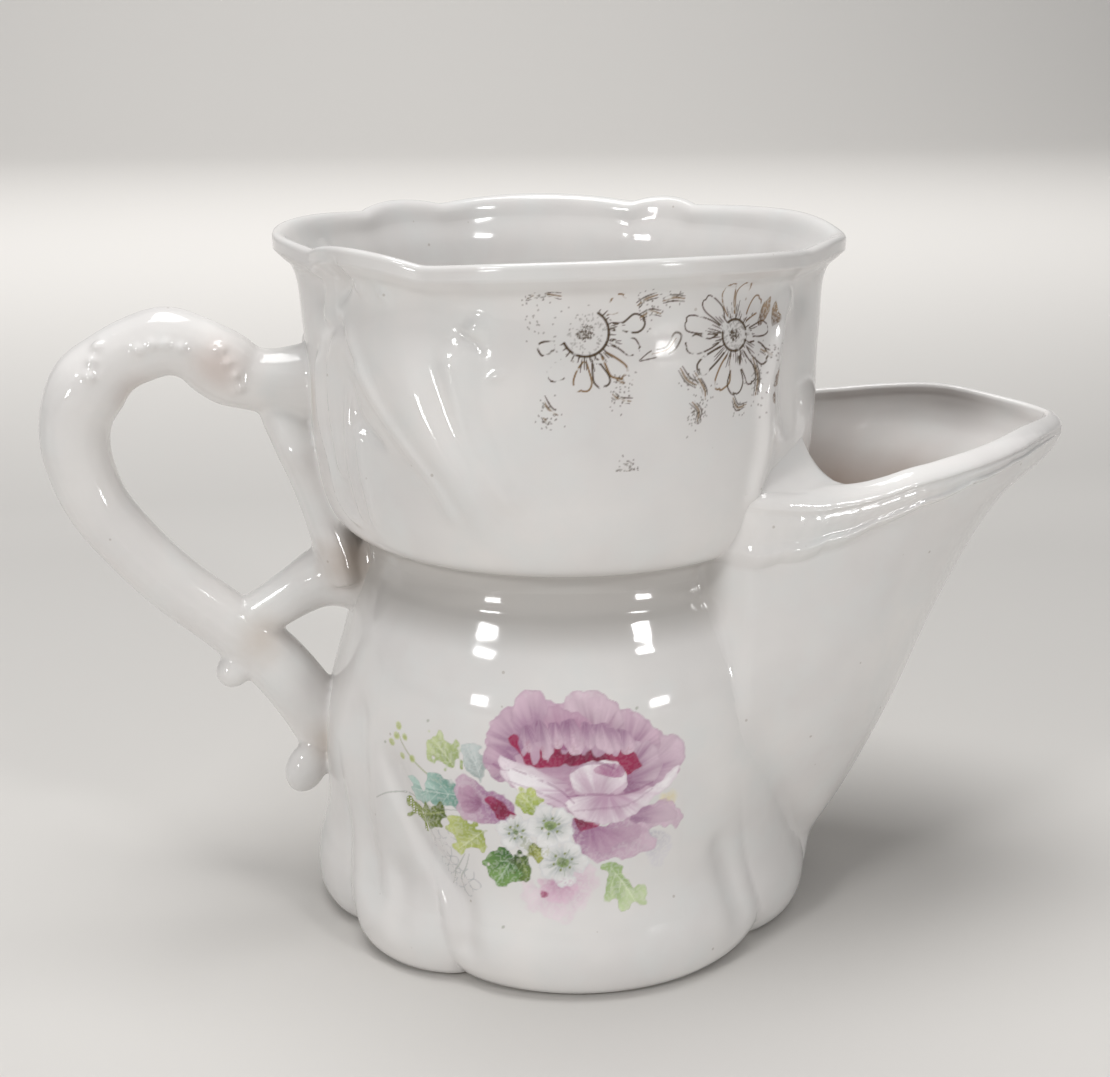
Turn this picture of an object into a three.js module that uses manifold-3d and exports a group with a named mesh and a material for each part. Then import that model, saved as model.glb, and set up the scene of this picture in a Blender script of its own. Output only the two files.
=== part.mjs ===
// Porcelain shaving scuttle: a lather bowl over a water reservoir, with a brush spout and a branch handle.
// Millimetres, +Z up. The spout points along +X and the handle along -X. Angles run anticlockwise from +X.
// Each mesh is a piece as it leaves its mould or the bench, and a thin luting gap parts it from its neighbours.
import * as THREE from "three";
import { mergeVertices } from "three/addons/utils/BufferGeometryUtils.js";
import Module from "manifold-3d";

const wasm = await Module();
wasm.setup();
const { lerp, smoothstep } = THREE.MathUtils;

// Clay thickness and the joints between pieces
const wall = 2.9;
const lutingGap = 0.3;
const cutOverrun = 4;
const mergeDistance = 0.0001;
const wholeTurnAngle = 360;
const handleSideAngle = 180;

// Foot ring, the only part that touches the table
const footRingHeight = 2.5;
const footRingRadius = 37.6;
const footRingSpread = 0.5;
const footRingBore = 28.5;

// Reservoir, in heights above its own lower edge
const reservoirHeight = 51.5;
const reservoirEdgeRadius = 38.3;
const footLobeRadius = 38.9;
const footLobeHeight = 4.6;
const ankleRadius = 36.9;
const ankleHeight = 12;
const bellyRadius = 37.3;
const bellyHeight = 28;
const shoulderRadius = 36.2;
const shoulderHeight = 41.5;
const shoulderCrownRadius = 33.9;
const shoulderCrownHeight = 48;
const neckRadius = 31.2;
const handlePinch = 3.2;
const handlePinchHeight = 41.2;
const handlePinchAngle = 28;

// Floor of the reservoir
const floorThickness = 3.2;

// Waist between reservoir and bowl
const waistHeight = 3.6;
const waistCove = 0.8;

// Lather bowl, in heights above its own lower edge
const bowlHeight = 46.5;
const bowlTurnRadius = 35.2;
const bowlTurnHeight = 4.6;
const bowlRadius = 37.4;
const bowlWallHeight = 15;
const throatHeight = 32;
const rimRollRadius = 38.6;
const rimRollHeight = 41;
const rimRadius = 40.2;
const drainBore = 21;

// Drainer that the soap rests on, and the ring of holes round its middle one
const drainerSeat = 5;
const drainerThickness = 3;
const drainHoleRadius = 2.4;
const drainHoleCircle = 13;
const drainHoles = 6;

// Scalloped edges: cusps in degrees, and how deep each cuts
const rimCuspAngles = [47, 64, 113, 137, 200, 234, 323];
const rimCuspDepth = 1.6;
const rimCuspDip = 1.6;
const rimTipAngles = [handleSideAngle, 354];
const rimTipReach = 1.3;
const rimTipDip = 1.5;
const rimTipSpreadAngle = 14;
const footCuspAngles = [2, 44, 122, 157, 203, 238, 316];
const footCuspDepth = 2.2;
const footLeanAngle = 14;

// Brush spout: its edge rises above the bowl's lower edge, its root above the reservoir's
const spoutReach = 78.7;
const spoutLipRise = 15.7;
const spoutCrestRise = 17.3;
const spoutSaddleRise = 14.7;
const spoutRootRise = 6.7;
const spoutRootReach = 40;
const spoutBackReach = 8;
const spoutMouthHalfWidth = 30.5;
const spoutRootHalfWidth = 12;
const spoutShelfFall = 4.6;
const ruffleHeight = 7.4;
const ruffleTipHeight = 2.6;
const ruffleDrop = 4.8;
const ruffleFall = 4;

// Handle: its crest rises above the bowl's lower edge, its tail and the lower bud above the reservoir's
const handleReach = 76.1;
const handleThickness = 10.4;
const handleCrestRise = 30.7;
const handleTailRise = 20.2;
const collarProud = 1.1;
const collarLength = 5;
const strutThickness = 7.2;
const strutDrop = 3.2;
const leafThickness = 7.4;
const leafDrop = 3.4;
const leafLength = 23;
const leafStandOff = 2.8;
const upperBudRadius = 2.5;
const lowerBudRadius = 3.2;
const lowerBudRise = 17.9;

// Facets: how finely round forms are cut
const roundSides = 60;
const outlineSteps = 11;
const spoutSides = 44;
const handleSides = 14;
const handleSteps = 44;

// Shares chosen by eye along an edge or a limb
const scallopFullnessShare = 0.6;
const keelShares = [[0, 0], [0.25, 0.24], [0.475, 0.52], [0.7, 0.76], [0.93, 0.92], [1, 1]];
const keelWallShare = 1.3;
const mouthCrestShare = 0.8;
const mouthFlatShare = 1.44;
const fullWidthShare = 0.62;
const shelfWidthShare = 0.86;
const handleShares = [
  [-0.06, 0.898], [0.18, 0.905], [0.315, 0.923], [0.44, 0.972], [0.58, 1], [0.725, 0.978], [0.91, 0.908],
  [1, 0.825], [1, 0.75], [0.915, 0.65], [0.76, 0.53], [0.58, 0.441], [0.38, 0.352], [0.206, 0.272],
  [0.054, 0.178], [-0.03, 0.083], [-0.06, 0],
];
const thicknessShares = [0.92, 0.9, 0.98, 1.03, 0.97, 0.95, 0.98, 1.01, 1.02, 0.95, 0.88, 0.8];
const firstCollarShare = 0.13;
const secondCollarShare = 0.34;
const limbEndShare = 0.8;
const strutStartShare = 0.785;
const strutBendShare = 0.45;
const strutFlareShare = 0.25;
const leafTaperShare = 0.55;
const upperBudShare = 0.805;
const collarEndShare = 0.2;
const ruffleTurnShares = [0.5, 0.45, 0.4, 0.35, 0.3];

// Heights above the table, from where one piece sits on the next
const reservoirBase = footRingHeight + lutingGap;
const waistBase = reservoirBase + reservoirHeight + lutingGap;
const bowlBase = waistBase + waistHeight + lutingGap;
const drainerBase = bowlBase + wall + lutingGap;
const spoutLipHeight = bowlBase + spoutLipRise;
const spoutCrestHeight = bowlBase + spoutCrestRise;
const spoutSaddleHeight = bowlBase + spoutSaddleRise;
const spoutRootHeight = reservoirBase + spoutRootRise;
const handleCrestHeight = bowlBase + handleCrestRise;
const handleTailHeight = reservoirBase + handleTailRise;
const strutHeight = waistBase - strutDrop;
const lowerBudHeight = reservoirBase + lowerBudRise;
const handlePath = handleCentreline();

// Porcelain under a clear glaze, a bare foot, and the glaze stained brown inside the spout
const glaze = { color: 0xf1ebe6, roughness: 0.12, metalness: 0 };
const bareClay = { color: 0xd9cdbd, roughness: 0.85, metalness: 0 };
const stainedGlaze = { color: 0xe6d9cd, roughness: 0.16, metalness: 0 };

// Turns a closed three.js geometry into a solid that can be joined and cut.
function solid(geometry) {
  const bare = new THREE.BufferGeometry();
  const loose = geometry.index ? geometry.toNonIndexed() : geometry;
  bare.setAttribute("position", loose.getAttribute("position"));
  const merged = mergeVertices(bare, mergeDistance);
  return new wasm.Manifold(new wasm.Mesh({
    numProp: 3,
    vertProperties: merged.attributes.position.array,
    triVerts: new Uint32Array(merged.index.array),
  }));
}

// Turns a solid back into a named three.js mesh of one clay.
function piece(name, shape, finish) {
  const mesh = shape.getMesh();
  const geometry = new THREE.BufferGeometry();
  geometry.setAttribute("position", new THREE.BufferAttribute(mesh.vertProperties, mesh.numProp));
  geometry.setIndex(new THREE.BufferAttribute(mesh.triVerts, 1));
  geometry.computeVertexNormals();
  const made = new THREE.Mesh(geometry, new THREE.MeshStandardMaterial(finish));
  made.name = name;
  return made;
}

// Moves every vertex of a geometry to the place that a rule gives it.
function shaped(geometry, rule) {
  const position = geometry.getAttribute("position");
  const vertex = new THREE.Vector3();
  for (let i = 0; i < position.count; i += 1) {
    vertex.fromBufferAttribute(position, i);
    rule(vertex);
    position.setXYZ(i, vertex.x, vertex.y, vertex.z);
  }
  return geometry;
}

// Turns radius and height points into a round body about +Z.
function turned(points) {
  const profile = points.map(([radius, height]) => new THREE.Vector2(Math.max(radius, 0), height));
  return new THREE.LatheGeometry(profile, roundSides).rotateX(Math.PI / 2);
}

// A smooth outline through radius and height points, moved outwards by a distance.
function outline(points, outwards = 0) {
  const curve = new THREE.SplineCurve(points.map(([radius, height]) => new THREE.Vector2(radius, height)));
  const made = [];
  for (let i = 0; i <= outlineSteps; i += 1) {
    const at = curve.getPoint(i / outlineSteps);
    const along = curve.getTangent(i / outlineSteps);
    made.push([at.x + along.y * outwards, at.y - along.x * outwards]);
  }
  return made;
}

// How full a scalloped edge is at an angle: 0 at a cusp and 1 at the middle of a lobe.
function fullness(degrees, cusps) {
  const turn = wholeTurnAngle;
  const angle = THREE.MathUtils.euclideanModulo(degrees, turn);
  const after = cusps.find((cusp) => cusp > angle) ?? cusps[0] + turn;
  const before = cusps.findLast((cusp) => cusp <= angle) ?? cusps.at(-1) - turn;
  return Math.sin((Math.PI * (angle - before)) / (after - before)) ** scallopFullnessShare;
}

// A bell-shaped rise around one angle, for the two tips of the rim and the pinch under the handle.
function swell(degrees, centre, width) {
  const halfTurn = wholeTurnAngle / 2;
  const away = THREE.MathUtils.euclideanModulo(degrees - centre + halfTurn, wholeTurnAngle) - halfTurn;
  return Math.exp(-((away / width) ** 2));
}

function degreesOf(vertex) {
  return THREE.MathUtils.radToDeg(Math.atan2(vertex.y, vertex.x));
}

function pushOut(vertex, distance) {
  const radius = Math.hypot(vertex.x, vertex.y);
  const scale = radius > 0 ? (radius + distance) / radius : 1;
  vertex.x *= scale;
  vertex.y *= scale;
}

// The rim's scallops and tips, fading out below the roll under the rim.
function scallopRim(vertex) {
  const fade = smoothstep(vertex.z, bowlBase + throatHeight, bowlBase + bowlHeight);
  const degrees = degreesOf(vertex);
  const hollow = 1 - fullness(degrees, rimCuspAngles);
  const tips = rimTipAngles.reduce((sum, tip) => sum + swell(degrees, tip, rimTipSpreadAngle), 0);
  pushOut(vertex, fade * (rimTipReach * tips - rimCuspDepth * hollow));
  vertex.z -= fade * (rimTipDip * tips + rimCuspDip * hollow);
}

// The foot's lobes, which lean towards the handle as they rise and fade out on the belly.
function lobeFoot(vertex) {
  const rise = THREE.MathUtils.clamp(vertex.z / (reservoirBase + bellyHeight), 0, 1);
  const lean = footLeanAngle * rise * Math.sin(Math.atan2(vertex.y, vertex.x));
  const hollow = 1 - fullness(degreesOf(vertex) - lean, footCuspAngles);
  const above = (vertex.z - reservoirBase - handlePinchHeight) / (reservoirHeight - shoulderHeight);
  const pinch = handlePinch * swell(degreesOf(vertex), handleSideAngle, handlePinchAngle) * Math.exp(-(above ** 2));
  pushOut(vertex, -footCuspDepth * hollow * (1 - rise) - pinch);
}

// Outer outlines of the three stacked bodies, each from its lower edge up
function reservoirOutline(outwards) {
  return outline([
    [reservoirEdgeRadius, reservoirBase],
    [footLobeRadius, reservoirBase + footLobeHeight],
    [ankleRadius, reservoirBase + ankleHeight],
    [bellyRadius, reservoirBase + bellyHeight],
    [shoulderRadius, reservoirBase + shoulderHeight],
    [shoulderCrownRadius, reservoirBase + shoulderCrownHeight],
    [neckRadius, reservoirBase + reservoirHeight],
  ], outwards);
}

function bowlOutline(outwards) {
  return outline([
    [neckRadius, bowlBase],
    [bowlTurnRadius, bowlBase + bowlTurnHeight],
    [bowlRadius, bowlBase + bowlWallHeight],
    [bowlRadius, bowlBase + throatHeight],
    [rimRollRadius, bowlBase + rimRollHeight],
    [rimRadius, bowlBase + bowlHeight],
  ], outwards);
}

// The body as one solid grown by the luting gap, which what is stuck on to it is cut to fit.
function bodyEnvelope() {
  const lower = reservoirOutline(lutingGap);
  const upper = bowlOutline(lutingGap);
  const reservoir = turned([[0, 0], [lower[0][0], 0], ...lower, [0, lower.at(-1)[1]]]);
  const bowl = turned([[0, upper[0][1]], ...upper, [upper.at(-1)[0], upper.at(-1)[1] + cutOverrun],
    [0, upper.at(-1)[1] + cutOverrun]]);
  const waistRadius = neckRadius + lutingGap;
  const waist = turned([[0, waistBase - cutOverrun], [waistRadius, waistBase - cutOverrun],
    [waistRadius, bowlBase + cutOverrun], [0, bowlBase + cutOverrun]]);
  return solid(shaped(reservoir, lobeFoot)).add(solid(shaped(bowl, scallopRim))).add(solid(waist));
}

function footRing() {
  const ring = turned([
    [footRingBore, 0],
    [footRingRadius, 0],
    [footRingRadius + footRingSpread, footRingHeight],
    [footRingBore, footRingHeight],
    [footRingBore, 0],
  ]);
  return piece("foot_ring", solid(shaped(ring, lobeFoot)), bareClay);
}

function reservoirWall(pocket) {
  const outside = reservoirOutline(0);
  const inside = reservoirOutline(-wall);
  inside[0][1] = reservoirBase;
  inside.at(-1)[1] = reservoirBase + reservoirHeight;
  const shell = turned([...outside, ...inside.reverse(), outside[0]]);
  return piece("reservoir_wall", solid(shaped(shell, lobeFoot)).subtract(pocket), glaze);
}

function basePlate() {
  const radius = reservoirEdgeRadius - wall - lutingGap;
  const plate = turned([
    [0, reservoirBase],
    [radius, reservoirBase],
    [radius, reservoirBase + floorThickness],
    [0, reservoirBase + floorThickness],
  ]);
  return piece("base_plate", solid(shaped(plate, lobeFoot)), glaze);
}

function waistCollar(pocket) {
  const top = waistBase + waistHeight;
  const collar = turned([
    [neckRadius - wall, waistBase],
    [neckRadius, waistBase],
    [neckRadius - waistCove, (waistBase + top) / 2],
    [neckRadius, top],
    [neckRadius - wall, top],
    [neckRadius - wall, waistBase],
  ]);
  return piece("waist_collar", solid(collar).subtract(pocket), glaze);
}

function latherBowl() {
  const outside = bowlOutline(0);
  const floor = bowlBase + wall;
  const inside = bowlOutline(-wall).filter(([, height]) => height > floor + wall);
  inside.at(-1)[1] = bowlBase + bowlHeight;
  const ledge = [[bowlTurnRadius - wall, floor], [drainBore, floor], [drainBore, bowlBase]];
  const cup = turned([...outside, ...inside.reverse(), ...ledge, outside[0]]);
  return piece("lather_bowl", solid(shaped(cup, scallopRim)), glaze);
}

function soapDrainer() {
  const radius = drainBore + drainerSeat;
  const disc = turned([
    [0, drainerBase],
    [radius, drainerBase],
    [radius, drainerBase + drainerThickness],
    [0, drainerBase + drainerThickness],
  ]);
  let drainer = solid(disc);
  const holeLength = drainerThickness + 2 * cutOverrun;
  for (let i = 0; i <= drainHoles; i += 1) {
    const circle = i < drainHoles ? drainHoleCircle : 0;
    const angle = (2 * Math.PI * i) / drainHoles;
    const hole = new THREE.CylinderGeometry(drainHoleRadius, drainHoleRadius, holeLength, 12).rotateX(Math.PI / 2);
    hole.translate(circle * Math.cos(angle), circle * Math.sin(angle), drainerBase + drainerThickness / 2);
    drainer = drainer.subtract(solid(hole));
  }
  return piece("soap_drainer", drainer, glaze);
}

// Reach of the spout's keel at a share of its height.
function keelReach(heightShare) {
  const after = Math.max(keelShares.findIndex(([, height]) => height >= heightShare), 1);
  const [[reachBelow, below], [reachAbove, above]] = [keelShares[after - 1], keelShares[after]];
  const share = lerp(reachBelow, reachAbove, (heightShare - below) / (above - below));
  return lerp(spoutRootReach, spoutReach, share);
}

// Half the spout's width at a share of its height, narrowest at the root.
function spoutHalfWidth(heightShare) {
  const share = Math.sin((Math.PI / 2) * Math.min(heightShare / fullWidthShare, 1));
  return lerp(spoutRootHalfWidth, spoutMouthHalfWidth, share);
}

// Reach at which the spout's sides spring from the round belly.
function springReach(heightShare) {
  return Math.sqrt(bellyRadius ** 2 - spoutHalfWidth(heightShare) ** 2);
}

// How far out a point of the mouth lies, from 0 at the belly to 1 at the lip.
function mouthShare(reach) {
  const spring = springReach(1);
  return THREE.MathUtils.clamp((reach - spring) / (spoutReach - spring), 0, 1);
}

// Height of the spout's edge: it climbs from the bowl to a crest and dips again at the lip.
function edgeHeight(reach) {
  const share = mouthShare(reach);
  if (share < mouthCrestShare) {
    return lerp(spoutSaddleHeight, spoutCrestHeight, smoothstep(share, 0, mouthCrestShare));
  }
  const past = smoothstep(share, mouthCrestShare, 1);
  return lerp(spoutCrestHeight, spoutLipHeight, past);
}

// A point on the spout's side, at a share of its height and an angle round its section, set in by a distance.
// The front half runs to the rounded keel, and the back half lies inside the body.
function spoutPoint(heightShare, angle, setIn, backReach) {
  const ahead = Math.cos(angle);
  const aside = Math.sin(angle);
  const spring = springReach(heightShare);
  const keel = keelReach(heightShare) - setIn * keelWallShare;
  const reach = ahead > 0 ? lerp(spring, keel, ahead) : lerp(spring, backReach, -ahead);
  const power = ahead > 0 ? lerp(1, mouthFlatShare, heightShare) : 1;
  const across = (spoutHalfWidth(heightShare) - setIn) * Math.abs(aside) ** power;
  return new THREE.Vector2(reach, Math.sign(aside) * across);
}

// The wedge that the spout fills, from its root to its edge, or past the edge for a cut.
// A shelf along the edge falls outwards beside the bowl and levels out towards the lip.
function spoutWedge(setIn, base, past, backReach, shelfFall) {
  const levels = 10;
  const profile = [new THREE.Vector2(0, 0)];
  for (let i = 0; i <= levels; i += 1) {
    profile.push(new THREE.Vector2(1, i / levels));
  }
  profile.push(new THREE.Vector2(shelfWidthShare, 1), new THREE.Vector2(0, 1));
  const drum = new THREE.LatheGeometry(profile, spoutSides).rotateX(Math.PI / 2);
  return solid(shaped(drum, (vertex) => {
    const heightShare = vertex.z;
    const radius = Math.hypot(vertex.x, vertex.y);
    const side = spoutPoint(heightShare, Math.atan2(vertex.y, vertex.x), setIn, backReach);
    vertex.x = lerp(springReach(heightShare), side.x, radius);
    vertex.y = side.y * radius;
    const fall = radius > shelfWidthShare ? shelfFall * (1 - mouthShare(vertex.x)) ** 2 : 0;
    vertex.z = lerp(base, edgeHeight(vertex.x) + past - fall, heightShare);
  }));
}

function spoutPocket() {
  return spoutWedge(wall, spoutRootHeight + wall, cutOverrun, 0, 0);
}

function brushSpout(pocket, envelope) {
  const wedge = spoutWedge(0, spoutRootHeight, 0, spoutBackReach, spoutShelfFall);
  return piece("brush_spout", wedge.subtract(pocket).subtract(envelope), stainedGlaze);
}

// A tube of changing thickness along a curve: the section is swept, then each ring is drawn in or let out.
function limb(curve, steps, sides, radiusAt) {
  const section = new THREE.Shape();
  const corner = (i) => [Math.cos((2 * Math.PI * i) / sides), Math.sin((2 * Math.PI * i) / sides)];
  section.moveTo(...corner(0));
  for (let i = 1; i < sides; i += 1) {
    section.lineTo(...corner(i));
  }
  const swept = new THREE.ExtrudeGeometry(section, { steps, extrudePath: curve });
  const centres = curve.getSpacedPoints(steps);
  return shaped(swept, (vertex) => {
    const distances = centres.map((centre) => centre.distanceToSquared(vertex));
    const ring = distances.indexOf(Math.min(...distances));
    const radius = radiusAt(ring / steps);
    vertex.sub(centres[ring]).multiplyScalar(radius).add(centres[ring]);
  });
}

// The moulded band under the spout's edge, on one side, deep beside the bowl and tapering towards the lip.
function spoutRuffle(name, side, spout, envelope) {
  const firstTurn = ruffleTurnShares[0];
  const lastTurn = ruffleTurnShares.at(-1);
  const points = ruffleTurnShares.map((turnShare) => {
    const heightShare = 1 - ruffleDrop / (spoutLipHeight - spoutRootHeight);
    const at = spoutPoint(heightShare, side * Math.PI * turnShare, 0, spoutBackReach);
    const fall = ruffleFall * ((turnShare - lastTurn) / (firstTurn - lastTurn));
    return new THREE.Vector3(at.x, at.y, edgeHeight(at.x) - ruffleDrop - fall);
  });
  const curve = new THREE.CatmullRomCurve3(points);
  const band = limb(curve, 12, 10, (share) => lerp(ruffleHeight, ruffleTipHeight, share) / 2);
  return piece(name, solid(band).subtract(spout).subtract(envelope), glaze);
}

// Centreline of the whole handle, from the bowl over the crest and down to the tail.
function handleCentreline() {
  const reach = handleReach - handleThickness / 2;
  return new THREE.CatmullRomCurve3(handleShares.map(([outShare, upShare]) => new THREE.Vector3(
    -lerp(bowlRadius, reach, outShare),
    0,
    lerp(handleTailHeight, handleCrestHeight, upShare),
  )));
}

function handleRadius(share) {
  const place = share * (thicknessShares.length - 1);
  const below = Math.min(Math.floor(place), thicknessShares.length - 2);
  const across = lerp(thicknessShares[below], thicknessShares[below + 1], place - below);
  return (across * handleThickness) / 2;
}

// The handle swept between two shares of its length, grown by a distance.
function handleSweep(from, to, grown) {
  const steps = Math.max(4, Math.round((to - from) * handleSteps));
  const points = [];
  for (let i = 0; i <= steps; i += 1) {
    points.push(handlePath.getPointAt(lerp(from, to, i / steps)));
  }
  const curve = new THREE.CatmullRomCurve3(points);
  return solid(limb(curve, steps, handleSides, (share) => handleRadius(lerp(from, to, share)) + grown));
}

// A block across the handle that starts half a luting gap short of a joint and takes away what lies past it.
function jointBlock(share, side) {
  const size = 2 * handleThickness;
  const block = new THREE.BoxGeometry(size, size, size);
  const along = handlePath.getTangentAt(share).multiplyScalar(side);
  const turn = new THREE.Quaternion().setFromUnitVectors(new THREE.Vector3(0, 0, 1), along);
  const centre = handlePath.getPointAt(share).addScaledVector(along, (size - lutingGap) / 2);
  return solid(block.applyQuaternion(turn).translate(centre.x, centre.y, centre.z));
}

// One length of the handle, with square ends at its joints.
function handleStretch(from, to) {
  const spare = lengthShare(handleThickness / 4);
  let made = handleSweep(Math.max(from - spare, 0), Math.min(to + spare, 1), 0);
  if (from > 0) {
    made = made.subtract(jointBlock(from, -1));
  }
  if (to < 1) {
    made = made.subtract(jointBlock(to, 1));
  }
  return made;
}

function lengthShare(distance) {
  return distance / handlePath.getLength();
}

// The ring that hides a joint of the handle.
function handleCollar(name, share, grownHandle) {
  const half = lengthShare(collarLength) / 2;
  const points = [share - half, share, share + half].map((place) => handlePath.getPointAt(place));
  const curve = new THREE.CatmullRomCurve3(points);
  const radius = handleRadius(share);
  const bulge = limb(curve, 6, handleSides, (along) => {
    const arc = lerp(collarEndShare, 1 - collarEndShare, along);
    return radius + collarProud * Math.sin(Math.PI * arc);
  });
  return piece(name, solid(bulge).subtract(grownHandle), glaze);
}

// The strut that ties the lower limb to the reservoir's shoulder.
function handleStrut(grownHandle, envelope) {
  const start = handlePath.getPointAt(strutStartShare);
  const end = new THREE.Vector3(-neckRadius + wall, 0, strutHeight);
  const middle = new THREE.Vector3(lerp(start.x, end.x, strutBendShare), 0, strutHeight);
  const curve = new THREE.QuadraticBezierCurve3(start, middle, end);
  const strut = limb(curve, 8, handleSides, (share) => {
    const flare = strutFlareShare * (2 * share - 1) ** 2;
    return (strutThickness / 2) * (1 + flare);
  });
  return piece("handle_strut", solid(strut).subtract(grownHandle).subtract(envelope), glaze);
}

// The leaf that runs down the bowl from the handle's root.
function handleLeaf(grownHandle, envelope) {
  const top = handlePath.getPointAt(0).z - leafDrop;
  const curve = new THREE.QuadraticBezierCurve3(
    new THREE.Vector3(-bowlRadius - leafStandOff, 0, top),
    new THREE.Vector3(-bowlRadius - leafStandOff / 2, 0, top - leafLength / 2),
    new THREE.Vector3(-neckRadius - leafStandOff, 0, top - leafLength),
  );
  const leaf = limb(curve, 8, handleSides, (share) => (leafThickness / 2) * (1 - leafTaperShare * share ** 2));
  return piece("handle_leaf", solid(leaf).subtract(grownHandle).subtract(envelope), glaze);
}

function bud(name, centre, radius, grownHandle, envelope) {
  const ball = new THREE.SphereGeometry(radius, 14, 9).translate(centre.x, centre.y, centre.z);
  return piece(name, solid(ball).subtract(grownHandle).subtract(envelope), glaze);
}

function upperBud(grownHandle, envelope) {
  const centre = handlePath.getPointAt(upperBudShare);
  const along = handlePath.getTangentAt(upperBudShare);
  const away = handleRadius(upperBudShare) + upperBudRadius / 4;
  centre.add(new THREE.Vector3(along.z, 0, -along.x).multiplyScalar(away));
  return bud("upper_bud", centre, upperBudRadius, grownHandle, envelope);
}

function lowerBud(grownHandle, envelope) {
  const centre = new THREE.Vector3(-bellyRadius - lowerBudRadius / 2, 0, lowerBudHeight);
  return bud("lower_bud", centre, lowerBudRadius, grownHandle, envelope);
}

// The whole scuttle, with its origin on the table under the middle of its length
function scuttle() {
  const pocket = spoutPocket();
  const envelope = bodyEnvelope();
  const spoutBase = spoutRootHeight - lutingGap;
  const spoutSolid = spoutWedge(-lutingGap, spoutBase, lutingGap, spoutBackReach, spoutShelfFall);
  const grownHandle = handleSweep(0, 1, lutingGap);
  const stretch = (name, from, to) => piece(name, handleStretch(from, to).subtract(envelope), glaze);
  const group = new THREE.Group();
  group.add(
    footRing(),
    basePlate(),
    reservoirWall(pocket),
    waistCollar(pocket),
    latherBowl(),
    soapDrainer(),
    brushSpout(pocket, envelope),
    spoutRuffle("spout_ruffle_front", -1, spoutSolid, envelope),
    spoutRuffle("spout_ruffle_back", 1, spoutSolid, envelope),
    stretch("handle_root", 0, firstCollarShare),
    stretch("handle_arch", firstCollarShare, secondCollarShare),
    stretch("handle_limb", secondCollarShare, limbEndShare),
    stretch("handle_tail", limbEndShare, 1),
    handleCollar("handle_collar_front", firstCollarShare, grownHandle),
    handleCollar("handle_collar_rear", secondCollarShare, grownHandle),
    handleStrut(grownHandle, envelope),
    handleLeaf(grownHandle, envelope),
    upperBud(grownHandle, envelope),
    lowerBud(grownHandle, envelope),
  );
  const box = new THREE.Box3().setFromObject(group);
  const middle = box.getCenter(new THREE.Vector3());
  group.position.set(-middle.x, -middle.y, -box.min.z);
  return group;
}

export default scuttle();
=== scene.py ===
# A porcelain shaving scuttle: a scalloped lather bowl on a coved waist, a belly for hot water, a brush spout
# and a branch handle, with a printed rose spray and two worn gilt daisies.
import math

import bpy
import numpy as np
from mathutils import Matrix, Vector


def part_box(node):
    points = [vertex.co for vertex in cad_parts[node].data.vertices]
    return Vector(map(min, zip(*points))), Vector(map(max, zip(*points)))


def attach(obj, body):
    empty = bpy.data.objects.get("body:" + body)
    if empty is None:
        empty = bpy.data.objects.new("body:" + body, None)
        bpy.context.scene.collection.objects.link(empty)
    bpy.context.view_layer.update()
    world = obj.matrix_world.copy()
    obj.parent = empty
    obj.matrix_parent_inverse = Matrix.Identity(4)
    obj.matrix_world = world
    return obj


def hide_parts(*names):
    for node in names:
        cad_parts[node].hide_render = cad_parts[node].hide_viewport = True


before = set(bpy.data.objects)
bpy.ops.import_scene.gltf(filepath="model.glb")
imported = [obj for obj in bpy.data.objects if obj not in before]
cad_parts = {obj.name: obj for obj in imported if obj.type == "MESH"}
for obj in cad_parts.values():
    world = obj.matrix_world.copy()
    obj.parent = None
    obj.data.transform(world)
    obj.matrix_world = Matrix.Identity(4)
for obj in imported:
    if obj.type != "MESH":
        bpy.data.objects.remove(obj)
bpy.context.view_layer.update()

MM = 0.001
drainer_low, drainer_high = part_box("soap_drainer")
AXIS = (drainer_low + drainer_high) / 2 / MM
AXIS.z = 0


# The bench: small helpers

def lay_down_tools():
    if bpy.context.mode != "OBJECT":
        bpy.ops.object.mode_set(mode="OBJECT")
    bpy.ops.object.select_all(action="DESELECT")


def take(*pieces):
    lay_down_tools()
    for piece in pieces:
        piece.select_set(True)
    bpy.context.view_layer.objects.active = pieces[0]


def at(x, y, z):
    """A place in millimetres from the bowl's axis, as metres in the frame."""
    return Vector(((x + AXIS.x) * MM, (y + AXIS.y) * MM, z * MM))


def name_piece(name):
    piece = bpy.context.object
    piece.name = name
    piece.data.name = name
    return piece


def clay(piece):
    """The vertices of a piece, in millimetres from the bowl's axis."""
    places = np.empty(len(piece.data.vertices) * 3)
    piece.data.vertices.foreach_get("co", places)
    return places.reshape(-1, 3) / MM - np.array(AXIS)


def set_clay(piece, places):
    piece.data.vertices.foreach_set("co", ((places + np.array(AXIS)) * MM).ravel())
    piece.data.update()


def fix_in_place(piece):
    take(piece)
    bpy.ops.object.transform_apply(location=True, rotation=True, scale=True)


def open_up(piece):
    """Goes into a piece to work on all of it."""
    take(piece)
    bpy.ops.object.mode_set(mode="EDIT")
    bpy.ops.mesh.select_all(action="SELECT")


def face_outwards(piece, merge):
    open_up(piece)
    bpy.ops.mesh.remove_doubles(threshold=merge * MM)
    bpy.ops.mesh.normals_make_consistent(inside=False)
    lay_down_tools()


def smooth_skin(piece, sharpest=180):
    take(piece)
    bpy.ops.object.shade_smooth_by_angle(angle=math.radians(sharpest))
    lay_down_tools()


def finish_with(piece, kind, **settings):
    """Adds a modifier and applies it."""
    take(piece)
    modifier = piece.modifiers.new(kind.title(), kind)
    for setting, value in settings.items():
        setattr(modifier, setting, value)
    bpy.ops.object.modifier_apply(modifier=modifier.name)
    lay_down_tools()


def join_clay(name, *pieces):
    take(*pieces)
    bpy.ops.object.join()
    return name_piece(name)


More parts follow.
